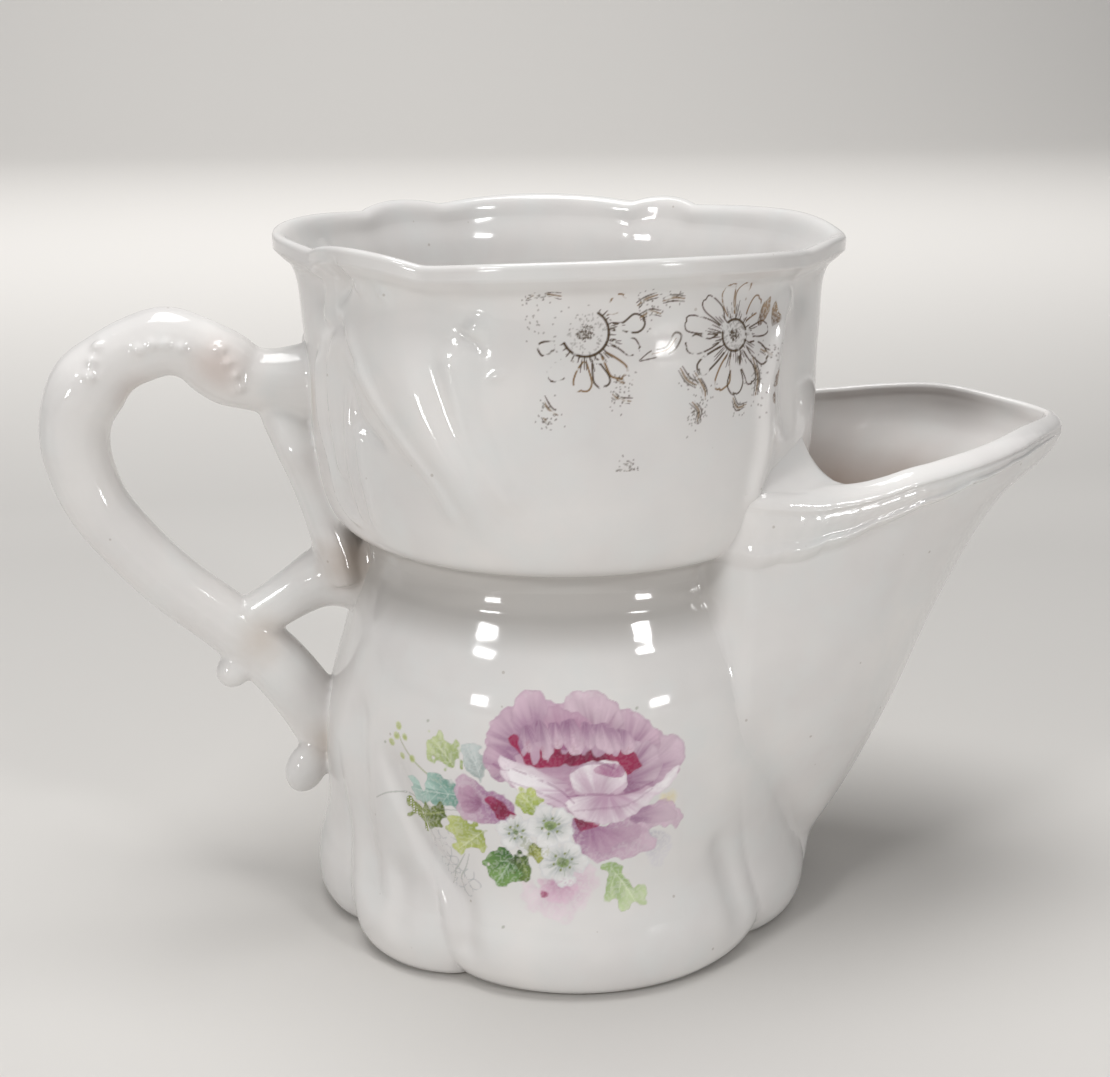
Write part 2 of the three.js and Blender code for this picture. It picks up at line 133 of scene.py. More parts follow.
def cut_away(piece, tool):
    """Cuts a tool's form out of a piece, and puts the tool away."""
    finish_with(piece, "BOOLEAN", object=tool, operation="DIFFERENCE", solver="EXACT")
    bpy.data.objects.remove(tool)


def smoothstep(value, low, high):
    share = np.clip((value - low) / (high - low), 0, 1)
    return share * share * (3 - 2 * share)


def blend(a, b, share):
    return a + (b - a) * share


def polar(places):
    """Angles in degrees and radii of places about the bowl's axis."""
    return np.degrees(np.arctan2(places[:, 1], places[:, 0])), np.hypot(places[:, 0], places[:, 1])


def from_polar(degrees, radius, z):
    angle = np.radians(degrees)
    return np.stack([radius * np.cos(angle), radius * np.sin(angle), z], -1)


def ahead_at(angle):
    """A step of one in a direction."""
    return np.array([math.cos(angle), math.sin(angle)])


def left_of(ahead):
    return np.array([-ahead[1], ahead[0]])


def run_through(points, gap):
    """A smooth line through given points, as points a set gap apart."""
    hand = np.array(points, float)
    ends = np.vstack([2 * hand[0] - hand[1], hand, 2 * hand[-1] - hand[-2]])
    share = np.linspace(0, 1, 20, endpoint=False)[:, None]
    fine = [0.5 * (2 * b + (c - a) * share + (2 * a - 5 * b + 4 * c - d) * share ** 2
                   + (3 * b - a - 3 * c + d) * share ** 3)
            for a, b, c, d in zip(ends, ends[1:], ends[2:], ends[3:])]
    fine = np.vstack([*fine, hand[-1:]])
    along = np.concatenate([[0], np.cumsum(np.linalg.norm(np.diff(fine[:, :2], axis=0), axis=1))])
    stops = np.linspace(0, along[-1], max(2, round(along[-1] / gap)) + 1)
    return np.stack([np.interp(stops, along, column) for column in fine.T], -1)


def from_hex(colour):
    """An sRGB hex colour as linear light."""
    parts = [int(colour[i:i + 2], 16) / 255 for i in (1, 3, 5)]
    return (*[p / 12.92 if p <= 0.04045 else ((p + 0.055) / 1.055) ** 2.4 for p in parts], 1)


def tone(colour):
    return np.array(from_hex(colour)[:3])


# The body's form

# Outside line of belly, waist and bowl, as radius and height in millimetres
FOOT_LINE = [(37.2, 0.5), (38, 1.5), (38.7, 3.4), (38.9, 6), (38.6, 8.6), (37.8, 11.6), (37, 15.4),
             (36.9, 20), (37.3, 27), (37.4, 33), (37.1, 39), (36.4, 43.5), (35.4, 47), (34.1, 50),
             (32.8, 52.3), (31.7, 54.3)]
WAIST_LINE = [(31.7, 54.3), (30.9, 55.5), (30.5, 56.7), (30.3, 57.7), (30.2, 58.5)]
BOWL_LINE = [(30.2, 58.5), (30.3, 59.9), (31, 61), (32.4, 61.5), (33.7, 62.4), (34.9, 64.1), (35.9, 66.6),
             (36.65, 70), (37.15, 74.5), (37.4, 80), (37.35, 86), (37.2, 91), (36.95, 95), (36.95, 98),
             (37.5, 100.2), (38.8, 101.6), (39.8, 102.7), (40.15, 103.8), (39.8, 104.65), (39, 104.92)]
RIM_CUSPS = [47, 64, 113, 137, 200, 234, 323]
CUSP_DEPTH = 1.3
CUSP_PULL = 1.6
CUSP_ROUNDNESS = 0.02
# The rim's two tips: their angles, how far each reaches out, and how far it dips
HANDLE_TIP, SPOUT_TIP = 180, 354
RIM_TIPS = {HANDLE_TIP: 1.9, SPOUT_TIP: 1.5}
HANDLE_TIP_DIP, SPOUT_TIP_DIP = 0.5, 1.5
TIP_WIDTH, TIP_DIP_WIDTH = 17, 14
# Heights from which and to which the scallops and the tips grow
RIM_FADE, RIM_FLARE = (91, 105), (84, 103)
FOOT_CUSPS = [2, 44, 122, 157, 203, 238, 316]
FOOT_LOBES_TOP, FOOT_LOBE_DEPTH, FOOT_LOBE_LEAN = 30.8, 2.2, 14
# The pinch in the belly under the handle
PINCH_DEPTH, PINCH_HEIGHT, PINCH_TALL, PINCH_WIDE = 3.2, 44, 10, 28
STEPS_ROUND = 480


def fullness(degrees, cusps, roundness=0.0):
    """0 at a cusp of a scalloped edge, 1 in the middle of a lobe. Roundness eases the cusps."""
    ring = np.array([cusps[-1] - 360, *cusps, cusps[0] + 360])
    angle = np.mod(degrees, 360)
    after = np.clip(np.searchsorted(ring, angle, side="right"), 1, len(ring) - 1)
    before = ring[after - 1]
    across = np.sin(np.pi * (angle - before) / (ring[after] - before)).clip(0, 1)
    return ((across ** 2 + roundness) / (1 + roundness)) ** 0.3


def swell(degrees, centre, width):
    away = np.mod(degrees - centre + 180, 360) - 180
    return np.exp(-(away / width) ** 2)


# Relief pressed by the mould. Each stroke: height (raised above 0, cut below), the share of its width on the
# left of its run, how square its crest is, and its run as angle, height and half width.
FRONT_BOWL_STROKES = [
    (1.88, 0.75, 2.6, [(223, 97, 7.4), (226.3, 91.4, 6.6), (230.8, 86.3, 5.2), (236.2, 80.8, 3.9),
     (242.7, 74.7, 3.3), (247, 69.8, 3), (250, 65, 2.6)]),
    (0.85, 0.6, 2, [(209.8, 95.2, 1.7), (213.7, 91, 1.7), (220.8, 85.8, 1.7), (229.1, 79.9, 1.6),
     (236.5, 74.3, 1.5), (240.4, 68.7, 1.2)]),
    (0.93, 1.3, 2, [(238.3, 94.4, 1.6), (238.9, 91.8, 1.7), (240.8, 86.8, 1.7), (243.3, 81.7, 1.7),
     (248.9, 75.1, 1.5), (253.4, 70.9, 1.2)]),
    (-0.76, 1, 2, [(211.9, 87.6, 0.5), (213, 83.6, 1.3), (215.5, 81.2, 1.2), (223.7, 78, 0.5)]),
    (1.6, 1, 2.6, [(241.8, 97.1, 1.5), (244.4, 96, 1.7), (247.1, 94.9, 1.4)]),
    (-0.59, 1, 2, [(240.2, 95.8, 0.6), (243.2, 94.3, 0.7), (246.4, 92.8, 0.5)]),
    (0.93, 1, 2, [(248.9, 90.4, 1.1), (249.5, 89.2, 1.2)]),
    (0.68, 1, 2, [(215.3, 100.6, 0.7), (216.6, 99.3, 0.8), (217.8, 98.1, 0.7)]),
    (0.68, 1, 2, [(221.9, 100.4, 0.7), (223.1, 99.1, 0.8), (224.2, 97.8, 0.7)]),
    (-1.01, 1, 2, [(213.3, 103.7, 0.9), (212.7, 102, 0.9), (212.5, 100.4, 0.9), (208.3, 97.3, 0.7)]),
    (0.85, 1, 2, [(198.4, 102.2, 0.8), (203.6, 100.7, 1), (203.7, 98.2, 1), (202.8, 95.4, 1),
     (205.4, 93.7, 0.8)]),
    (-0.59, 1, 2, [(206.2, 94.6, 0.8), (209.9, 93.1, 0.8), (213.3, 90.3, 0.8), (216.2, 88.5, 0.6)]),
    (0.93, 1.5, 2, [(208.7, 93.2, 0.9), (205.5, 88.8, 1), (205.2, 83.2, 1), (207.1, 76.4, 1),
     (208.2, 72.2, 0.8)]),
    (1.01, 1, 2, [(199.9, 90.2, 1.2), (199, 85.2, 1.4), (199.9, 79.7, 1.4), (203.5, 74.4, 1.3),
     (205.5, 68.8, 1.2), (212.3, 65.4, 0.9)]),
    (0.71, 1, 2, [(211.9, 86.7, 0.7), (211.3, 81.1, 0.9), (211.7, 74.2, 0.9), (212.9, 69.2, 0.8),
     (213.3, 66.3, 0.7)]),
    (0.61, 1, 2, [(214.6, 81.5, 0.7), (215.4, 74.6, 0.8), (216.6, 69.8, 0.8), (216.4, 66, 0.7)]),
    (1.01, 2, 2, [(319, 100, 0.9), (313, 93, 1.1), (308.6, 86, 1.2), (308.6, 80.2, 1.2), (308.2, 76.8, 1.2),
     (306.9, 73.3, 1.1), (306.2, 69, 1)]),
    (-0.85, 1, 2, [(318, 97, 1.2), (316.7, 93.1, 1.5), (316.3, 83.5, 1.7), (319.4, 77.4, 1.4)]),
]
FRONT_BELLY_STROKES = [
    (-1.2, 0.8, 2, [(241.5, 2.9, 2.3), (240.2, 10.6, 2.2), (238.7, 13.7, 2.0), (234.1, 17.8, 1.7),
     (230.1, 21.5, 1.7), (225.3, 27.4, 2.2), (219.2, 35.4, 2.5)]),
    (0.6, 1, 2, [(237.5, 6, 2.8), (236, 12, 2.8), (229.5, 18, 2.8), (225, 23, 2.8)]),
    (-0.95, 1, 2, [(218.4, 6.5, 2.5), (214.2, 12.2, 2.3), (210.7, 19.2, 2.5), (209.8, 27.1, 2.8),
     (208.5, 36.2, 3.1), (207.9, 41.8, 3.1)]),
    (-0.6, 1, 2, [(222.2, 4.3, 2.2), (223.8, 11.4, 2.2), (220.4, 18.4, 1.9)]),
    (-0.85, 1, 2, [(307.6, 3.8, 2.3), (304.7, 9.7, 2.3), (302.7, 15.3, 2.2), (298.9, 22.6, 1.9)]),
    (-0.3, 1, 2, [(339.9, 8.1, 2.5), (333.3, 18.5, 3.4), (324, 27, 4.0), (314, 38, 4.7), (305, 48, 4.7)]),
]
# An angle and its mirror image add up to these
BOWL_MIRROR, BELLY_MIRROR = 371, 363


def turned_about(strokes, mirror):
    """The same kind of strokes on the other side."""
    return [(height, 1 / left, crest, [(mirror - angle, z, width) for angle, z, width in run])
            for height, left, crest, run in strokes]


STROKES = (FRONT_BOWL_STROKES + turned_about(FRONT_BOWL_STROKES, BOWL_MIRROR) + FRONT_BELLY_STROKES
           + turned_about(FRONT_BELLY_STROKES, BELLY_MIRROR))
RELIEF_RADIUS = 37.3
STROKE_GAP = 0.8
# A stroke still shows this many half widths from its middle
STROKE_REACH = 2.2


def relief(degrees, heights):
    """How proud the moulded relief stands, by angle and height."""
    proud = np.zeros_like(degrees)
    around = np.radians(np.mod(degrees, 360)) * RELIEF_RADIUS
    for height, left, crest, run in STROKES:
        line = run_through([(math.radians(a) * RELIEF_RADIUS, z, w) for a, z, w in run], STROKE_GAP)
        widest = line[:, 2].max()
        reach = STROKE_REACH * widest * max(1, left)
        near = np.flatnonzero((around > line[:, 0].min() - reach) & (around < line[:, 0].max() + reach)
                              & (heights > line[:, 1].min() - reach) & (heights < line[:, 1].max() + reach))
        if near.size == 0:
            continue
        spot = np.stack([around[near], heights[near]], -1)
        best = np.full(near.size, np.inf)
        made = np.zeros(near.size)
        steps = np.arange(len(line))
        ends = smoothstep(np.minimum(steps, steps[::-1]) * STROKE_GAP + 0.5, 0, 1.2 + 1.6 * widest)
        for a, b, end_a, end_b in zip(line, line[1:], ends, ends[1:]):
            along = b[:2] - a[:2]
            share = np.clip(((spot - a[:2]) @ along) / (along @ along), 0, 1)
            off = spot - a[:2] - share[:, None] * along
            distance = np.hypot(*off.T)
            side = along[0] * off[:, 1] - along[1] * off[:, 0]
            width = blend(a[2], b[2], share) * np.where(side > 0, left, 1)
            here = np.exp(-(distance / width) ** crest) * blend(end_a, end_b, share)
            closer = distance < best
            best = np.where(closer, distance, best)
            made = np.where(closer, here, made)
        proud[near] += height * made
    return proud


def form_push(degrees, z, inside=False):
    """How far scallops, lobes and the pinch under the handle move the clay: outwards and down."""
    depth = np.where(inside, 0.35 + 0.65 * smoothstep(z, 99, 105), 1)
    fade = smoothstep(z, *RIM_FADE) * depth
    flare = smoothstep(z, *RIM_FLARE) * depth
    at_back = smoothstep(np.sin(np.radians(degrees)), 0.2, 0.7)
    hollow = CUSP_DEPTH * (1 - fullness(degrees, RIM_CUSPS, CUSP_ROUNDNESS)) * (1 - 0.35 * at_back)
    tips = sum(reach * swell(degrees, tip, TIP_WIDTH) for tip, reach in RIM_TIPS.items())
    out = flare * tips - fade * CUSP_PULL * hollow
    down = fade * (SPOUT_TIP_DIP * swell(degrees, SPOUT_TIP, TIP_DIP_WIDTH)
                   + HANDLE_TIP_DIP * swell(degrees, HANDLE_TIP, TIP_DIP_WIDTH) + CUSP_PULL * hollow)
    rise = np.clip(z / FOOT_LOBES_TOP, 0, 1)
    lean = FOOT_LOBE_LEAN * rise * np.sin(np.radians(degrees))
    lobe_depth = FOOT_LOBE_DEPTH * (1 - rise) + 1.1 * (1 - smoothstep(z, 0, 6))
    out -= (1 - fullness(degrees - lean, FOOT_CUSPS)) * lobe_depth
    out -= 0.9 * swell(degrees, 203, 5) * (1 - smoothstep(z, 2, 16))
    out -= (PINCH_DEPTH * swell(degrees, HANDLE_TIP, PINCH_WIDE)
            * np.exp(-((z - PINCH_HEIGHT) / PINCH_TALL) ** 2))
    return out, down


OUTSIDE = run_through(FOOT_LINE[:-1] + WAIST_LINE[:-1] + BOWL_LINE[:-3], 0.4)


def plain_radius(z):
    return np.interp(z, OUTSIDE[:, 1], OUTSIDE[:, 0])


def body_radius(degrees, z):
    """Radius of the finished outside at an angle and height."""
    return plain_radius(z) + form_push(degrees, z)[0] + relief(degrees, z)


def skin_places(degrees, heights, proud):
    """Places a little above or below the finished outside."""
    down = form_push(degrees, heights)[1]
    return from_polar(degrees, body_radius(degrees, heights) + proud, heights - down)


def shape_body(piece):
    """Presses scallops, lobes and relief into a turned piece."""
    places = clay(piece)
    degrees, radius = polar(places)
    z = places[:, 2]
    line = plain_radius(z)
    skin = smoothstep(radius, line - 1.6, line - 0.5)
    out, down = form_push(degrees, z, skin < 0.5)
    pushed = radius + np.where(radius > 27, out, 0) + skin * relief(degrees, z)
    share = np.where(radius > 0.01, pushed / np.maximum(radius, 0.01), 1)
    set_clay(piece, np.stack([places[:, 0] * share, places[:, 1] * share, z - down], -1))


SEAM = 0.005


def turn(name, line, closed=True, steps=STEPS_ROUND):
    """Turns a line of radius and height about the bowl's axis."""
    lay_down_tools()
    bpy.ops.mesh.primitive_plane_add(size=MM, location=at(line[0][0], 0, line[0][1]))
    piece = name_piece(name)
    fix_in_place(piece)
    open_up(piece)
    bpy.ops.mesh.merge(type="CENTER")
    stops = [*line, line[0]] if closed else line
    for (r0, z0), (r1, z1) in zip(stops, stops[1:]):
        bpy.ops.mesh.extrude_vertices_move(
            TRANSFORM_OT_translate={"value": ((r1 - r0) * MM, 0, (z1 - z0) * MM)})
    lay_down_tools()
    bpy.context.scene.cursor.location = at(0, 0, 0)
    take(piece)
    bpy.ops.object.origin_set(type="ORIGIN_CURSOR")
    finish_with(piece, "SCREW", steps=steps, render_steps=steps, use_merge_vertices=True,
                merge_threshold=SEAM * MM)
    fix_in_place(piece)
    face_outwards(piece, SEAM)
    return piece


def line_of(*parts):
    """One profile from stretches of points, each as (gap, points)."""
    made = []
    for gap, points in parts:
        stretch = run_through(points, gap)
        made.extend(stretch[1:] if made else stretch)
    return [tuple(point) for point in made]


# Turned pieces

WAIST_FOOT, BOWL_FOOT, WAIST_TOP = 54.6, 58.2, 58.6
outside_belly = [tuple(p) for p in OUTSIDE if p[1] < WAIST_FOOT]
outside_waist = [outside_belly[-1]] + [tuple(p) for p in OUTSIDE if WAIST_FOOT < p[1] < WAIST_TOP]
outside_bowl = [tuple(p) for p in OUTSIDE if p[1] > BOWL_FOOT]

belly = turn("water_reservoir", outside_belly + line_of(
    (1.4, [outside_belly[-1], (29.4, 54.4), (28.6, 53.8)]),
    (1.6, [(28.6, 53.8), (30.2, 51.6), (32, 48), (33.4, 43), (34.4, 36), (34.5, 28), (34.1, 20), (34.3, 12),
           (35.4, 7), (35, 2.8)]),
    (0.8, [(35, 2.8), (35.4, 1.2), outside_belly[0]]))[1:-1])
waist = turn("waist_cove", outside_waist + line_of(
    (1.4, [outside_waist[-1], (29.4, 58.5), (28.4, 58.2)]),
    (1.4, [(28.4, 58.2), (28.1, 56.6), (28.4, 54.6)]),
    (1.4, [(28.4, 54.6), (29.6, 54.2), outside_waist[0]]))[1:-1])
bowl = turn("lather_bowl_shell", outside_bowl + line_of(
    (0.35, [outside_bowl[-1], (39.8, 104.6), (39.1, 104.9), (38.3, 104.6), (37.6, 103.6), (36.9, 101.4)]),
    (1.2, [(36.9, 101.4), (35.5, 98), (34.7, 93.5), (34.5, 87), (34.3, 78), (33.7, 71), (32.3, 66.6),
           (29.8, 63.6), (26.4, 62)]),
    (1.2, [(26.4, 62), (23, 61.8), (21, 61.7)]),
    (1.2, [(21, 61.7), (20.8, 60), (21, 58.5)]),
    (1.6, [(21, 58.5), outside_bowl[0]]))[1:-1])
for piece in (belly, waist, bowl):
    shape_body(piece)
    smooth_skin(piece, 50)

foot_ring = turn("bare_foot_ring", line_of(
    (0.5, [(35.8, 2.7), (36.5, 1.4), (36.1, 0.5), (35.4, 0.12)]),
    (0.8, [(35.4, 0.12), (34.2, 0.04), (31.6, 0.04), (29.6, 0.3)]),
    (0.6, [(29.6, 0.3), (28.9, 1.1), (28.7, 2.7)]),
    (1.6, [(28.7, 2.7), (35.8, 2.7)]))[:-1], steps=240)
places = clay(foot_ring)
degrees, radius = polar(places)
push = smoothstep(radius, 31, 37) * form_push(degrees, places[:, 2])[0]
places[:, :2] *= ((radius + push) / radius)[:, None]
set_clay(foot_ring, places)
smooth_skin(foot_ring)

floor_plate = turn("reservoir_floor", line_of(
    (1.5, [(0.02, 2.9), (16, 2.8), (28, 2.8), (34.8, 2.8)]),
    (0.8, [(34.8, 2.8), (35.1, 4.2), (34.4, 6)]),
    (1.5, [(34.4, 6), (30, 6), (14, 6), (0.02, 6.1)])), closed=False, steps=180)
smooth_skin(floor_plate)

drainer = turn("soap_drainer_plate", line_of(
    (1, [(0.02, 64), (10, 64.1), (18, 64.3), (24, 64.6)]),
    (0.4, [(24, 64.6), (25.2, 64.6), (25.9, 64), (25.9, 62.8), (25.3, 62.1)]),
    (1, [(25.3, 62.1), (16, 61.9), (8, 61.9), (0.02, 61.9)])), closed=False, steps=180)


def drill(piece, spots, radius, low, high):
    """Round holes through a plate."""
    bits = []
    for x, y in spots:
        lay_down_tools()
        bpy.ops.mesh.primitive_cylinder_add(vertices=40, radius=radius * MM, depth=(high - low) * MM,
                                            location=at(x, y, (low + high) / 2))
        bits.append(bpy.context.object)
    cut_away(piece, join_clay("bit", *bits))


HOLE_RADIUS, HOLE_CIRCLE, HOLES_ROUND = 2.4, 13, 6
ring_turns = [math.tau * i / HOLES_ROUND for i in range(HOLES_ROUND)]
drill(drainer, [(0, 0)] + [(HOLE_CIRCLE * math.cos(a), HOLE_CIRCLE * math.sin(a)) for a in ring_turns],
      HOLE_RADIUS, 60, 67)
finish_with(drainer, "BEVEL", width=0.35 * MM, segments=3, angle_limit=math.radians(50))
smooth_skin(drainer, 40)


# Brush spout

# The keel as reach and height, and the lip's outline seen from above as shares of its length and half width
KEEL = np.array([(39.6, 3), (39.6, 5.5), (40.4, 8.4), (41.9, 11.3), (45.1, 16.4), (49.6, 25), (54, 33.9),
                (58.3, 43.6), (62.7, 51.8), (66.5, 58.3), (70.6, 63.7), (74.2, 66.8), (77.2, 69.3),
                (78.65, 71.9)])
MOUTH_SHARES = np.array([(0, 1), (0.149, 0.993), (0.323, 0.938), (0.463, 0.882), (0.533, 0.836),
    (0.603, 0.787), (0.673, 0.721), (0.743, 0.633), (0.813, 0.511), (0.883, 0.367), (0.953, 0.205),
    (0.984, 0.105), (1, 0)])
# Along the spout: the edge's height, the shelf's fall and width, and the depth of the band under it
EDGE = np.array([(20, 74.6), (25, 73.4), (30, 72.2), (34, 71.7), (38, 71.7), (42, 72.3), (46.5, 73.3),
                (52, 74), (59, 74.8), (66, 75.7), (70, 75.7), (75, 75.1), (78.7, 74.4)])
SHELF_FALL = np.array([(20, 4.6), (24, 4.2), (30, 3.3), (36, 2.4), (44, 2), (60, 1.8), (80, 1.7)])
SHELF_WIDTH = np.array([(20, 5.4), (24, 5), (30, 3.9), (36, 2.8), (44, 2.4), (60, 2.3), (80, 2.6)])
BAND_DEPTH = np.array([(20, 8), (24, 7.6), (29, 6.6), (37, 5.4), (46, 4.2), (51, 3.4), (58, 2.4), (68, 1.4),
    (80, 0.8)])
# The lip's section as shares of its width and fall, from the outer edge over the top to the inside
SHELF_SECTION = run_through([(0, -1), (0.05, -0.74), (0.2, -0.42), (0.45, -0.14), (0.7, 0), (0.88, -0.06),
                             (0.98, -0.2), (1.02, -0.42)], 0.075)
SPOUT_FOOT = 5.5
WIDENS_FROM, WIDENS_OVER = 9.5, 64
ROOT_HALF_WIDTH, LIP_HALF_WIDTH = 12, 30.5
LIP_HEIGHT = 72.0
WALL = 2.7
SIDE_STEPS = 110
FILLET_STEPS = 12


def smooth_table(table, value, gap=0.6):
    fine = run_through(table, gap)
    return np.interp(value, fine[:, 0], fine[:, 1])


def share_up(z):
    return np.clip((z - WIDENS_FROM) / WIDENS_OVER, 0, 1)


def half_width(z):
    return blend(ROOT_HALF_WIDTH, LIP_HALF_WIDTH, np.sin(np.pi / 2 * np.minimum(share_up(z) / 0.62, 1)))


def keel_reach(z):
    fine = run_through(KEEL, 0.6)
    return np.interp(z, fine[:, 1], fine[:, 0])


def side_line(z, inset):
    """One side of the spout at a height, from the body to the keel, set in by a distance."""
    turn_angle = np.pi / 2 * np.linspace(1, 0, SIDE_STEPS + 1) ** 0.75
    share = np.cos(turn_angle)
    tall = share_up(z)
    wide = half_width(z) - inset
    spring = np.sqrt(np.maximum(RELIEF_RADIUS ** 2 - wide ** 2, 0))
    x = blend(spring, keel_reach(z) - inset * 1.15, share)
    plain = np.sin(turn_angle) ** blend(1, 1.44, tall)
    mouth = smooth_table(MOUTH_SHARES, share, 0.01)
    return x, wide * blend(plain, mouth, smoothstep(tall, 0.45, 0.95))


# Rows of the band under the edge: each one's drop and how much of the band's stand it has
BAND_FOOT = ((-0.8, 0.08), (-0.45, 0.27), (-0.05, 0.52), (0.4, 0.76), (0.9, 0.93), (1.5, 1))


def spout_rows():
    """Rows of places from the root up the outside, over the shelf and down the inside, for one side. Each
    comes with the name of its stretch and its share of that."""
    x_top, y_top = side_line(np.full(SIDE_STEPS + 1, LIP_HEIGHT), 0)
    edge = smooth_table(EDGE, x_top)
    fall = smooth_table(SHELF_FALL, x_top)
    width = smooth_table(SHELF_WIDTH, x_top)
    along = np.concatenate([[0], np.cumsum(np.hypot(np.diff(x_top), np.diff(y_top)))])
    ripple = (1 - smoothstep(x_top, 58, 70)) * smoothstep(x_top, 21.5, 24)
    scallops = 0.45 * np.abs(np.sin(np.pi * (along + 2.2) / 7.4)) ** 0.7 - 0.4
    band = smooth_table(BAND_DEPTH, x_top) + ripple * scallops
    edge = edge + 0.14 * np.sin(along / 5.2) * smoothstep(x_top, 44, 52)
    rows = []

    def row(z, outwards, stretch, thick=0.0):
        x, y = side_line(z, thick)
        nx, ny = np.gradient(y), -np.gradient(x)
        length = np.maximum(np.hypot(nx, ny), 1e-6)
        nx, ny = np.abs(nx) / length, np.abs(ny) / length
        nx[-1], ny[-1] = 1, 0
        x, y = x + outwards * nx, y + outwards * ny
        if y[-2] < 0:
            # the two sides meet before the keel, in a mitre
            before = int(np.argmax(y < 0)) - 1
            share = y[before] / (y[before] - y[before + 1])
            x[before + 1:] = blend(x[before], x[before + 1], share)
            y[before + 1:] = 0
        rows.append((np.stack([x, y, z], -1), *stretch))

    low = edge - fall - band - 0.9
    for share in np.linspace(0, 1, 76):
        z = blend(np.full_like(low, SPOUT_FOOT), low, share ** 0.92)
        row(z, np.zeros_like(z), ("wall", share))
    bumps = 0.5 + 0.5 * np.sin(along * 2.1) * np.sin(along * 0.83 + 1)
    proud = (0.97 + 0.16 * bumps) * (1 - smoothstep(x_top, 64, 77)) * smoothstep(x_top, 20, 21.8)
    for drop, out in BAND_FOOT:
        row(edge - fall - band + drop * np.clip(band / 6, 0.1, 1), proud * out, ("band", 0))
    for share in (0.3, 0.45, 0.6, 0.75, 0.88, 0.96):
        stand = proud * (0.82 + 0.18 * math.cos(share * 9)) * (1 - 0.25 * share)
        row(edge - fall - band * (1 - share), stand, ("band", share))
    for outwards, drop in SHELF_SECTION:
        share = min(1, outwards)
        row(edge + fall * drop, 0.75 * proud * (1 - share) ** 2 - width * outwards, ("shelf", share))
    for share in np.linspace(0.02, 1, 46):
        z = blend(edge - 0.42 * fall - 0.3, np.full_like(edge, 12.0), share ** 1.25)
        thick = blend(width * 1.02, np.full_like(width, WALL), min(1, share * 6))
        row(z, np.zeros_like(z), ("inside", share), thick)
    return rows


# The row is carried on by this angle, and sinks into the body from one angle to another
CARRIED_ON, SINKS_FROM, SINKS_TO, SINK_DEPTH = 15, 53.5, 60.5, 9
# Reach of the fillet between spout and body, by height
FILLET_REACH = [[5, 14, 30, 42, 50, 54, 60, 80], [1.2, 2, 3.6, 4.6, 4.2, 2.4, 1.4, 1.4]]


def wall_end(line, side, hug=1.0):
    """Carries one side's outside row on round the body, joined to it by a soft fillet."""
    angles, radii = polar(line)
    more = angles[0] + CARRIED_ON * np.linspace(1, 0, FILLET_STEPS + 1)[:-1]
    radii = np.concatenate([line[0, 1] / np.sin(np.radians(more)), radii])
    heights = np.concatenate([np.full(FILLET_STEPS, line[0, 2]), line[:, 2]])
    turned = np.concatenate([more, angles])
    radii = radii - SINK_DEPTH * smoothstep(turned, SINKS_FROM, SINKS_TO)
    body = body_radius(np.mod(side * turned, 360), heights)
    reach = np.interp(heights, *FILLET_REACH) * hug
    share = np.clip(0.5 + 0.5 * (radii - body) / reach, 0, 1)
    joined = body + (radii - body) * share + reach * share * (1 - share)
    joined -= 0.12 * smoothstep(turned, angles[0] + 4, angles[0] + 13)
    joined -= 1.0 * (1 - hug) * smoothstep(turned, 52.4, 55)
    return from_polar(turned, joined, heights)


# Where the shelf lands on the body, from its outer edge to its inner one: shares, angles and heights
SHELF_LANDING = [[0, 0.3, 0.6, 0.85, 1], [53.4, 52.6, 48.5, 41, 32.5], [70.6, 72.3, 74.6, 76.4, 77.6]]
OUTER_CORNER, INNER_CORNER = np.array((24.2, 30.4, 70.9)), np.array((32, 24.6, 71.9))
INNER_START = 36.4


def spout_end(line, stretch, share, side):
    """Carries one side's row on to the body."""
    if stretch == "wall":
        return wall_end(line, side)
    if stretch == "band":
        return wall_end(line, side, 1 - 0.85 * share)
    z = line[0][2]
    if stretch == "shelf":
        angle = float(np.interp(share, *SHELF_LANDING[:2]))
        height = float(np.interp(share, SHELF_LANDING[0], SHELF_LANDING[2]))
        corner = blend(OUTER_CORNER, INNER_CORNER, share)
        start = int(np.argmax(line[:, 0] > blend(27, INNER_START, share)))
        sunk = 0.5
    else:
        steep = 1 - smoothstep(share, 0, 0.14)
        spring = math.degrees(math.atan2(line[0][1], line[0][0]))
        angle = blend(spring - 5, SHELF_LANDING[1][-1], float(smoothstep(z, 50, 60)))
        height = z + 5.6 * steep
        start = int(np.argmax(line[:, 0] > INNER_START))
        across, aside, _ = INNER_CORNER
        corner = np.array((across, aside * line[0][1] / 27.6, line[start][2] + 0.3 * steep))
        sunk = blend(1.6, 0.3, float(smoothstep(z, 52, 60)))
    body = float(body_radius(np.array([side * angle % 360]), np.array([height]))[0]) - sunk
    landed = from_polar(angle, body, height)
    way = np.linspace(0, 1, FILLET_STEPS + start + 1)[:, None]
    curve = (1 - way) ** 2 * landed + 2 * way * (1 - way) * corner + way ** 2 * line[start]
    carried = np.vstack([curve, line[start + 1:]])
    if stretch == "shelf":
        carried = blend(wall_end(line, side, 0.15), carried, float(smoothstep(share, 0, 0.3)))
    return carried


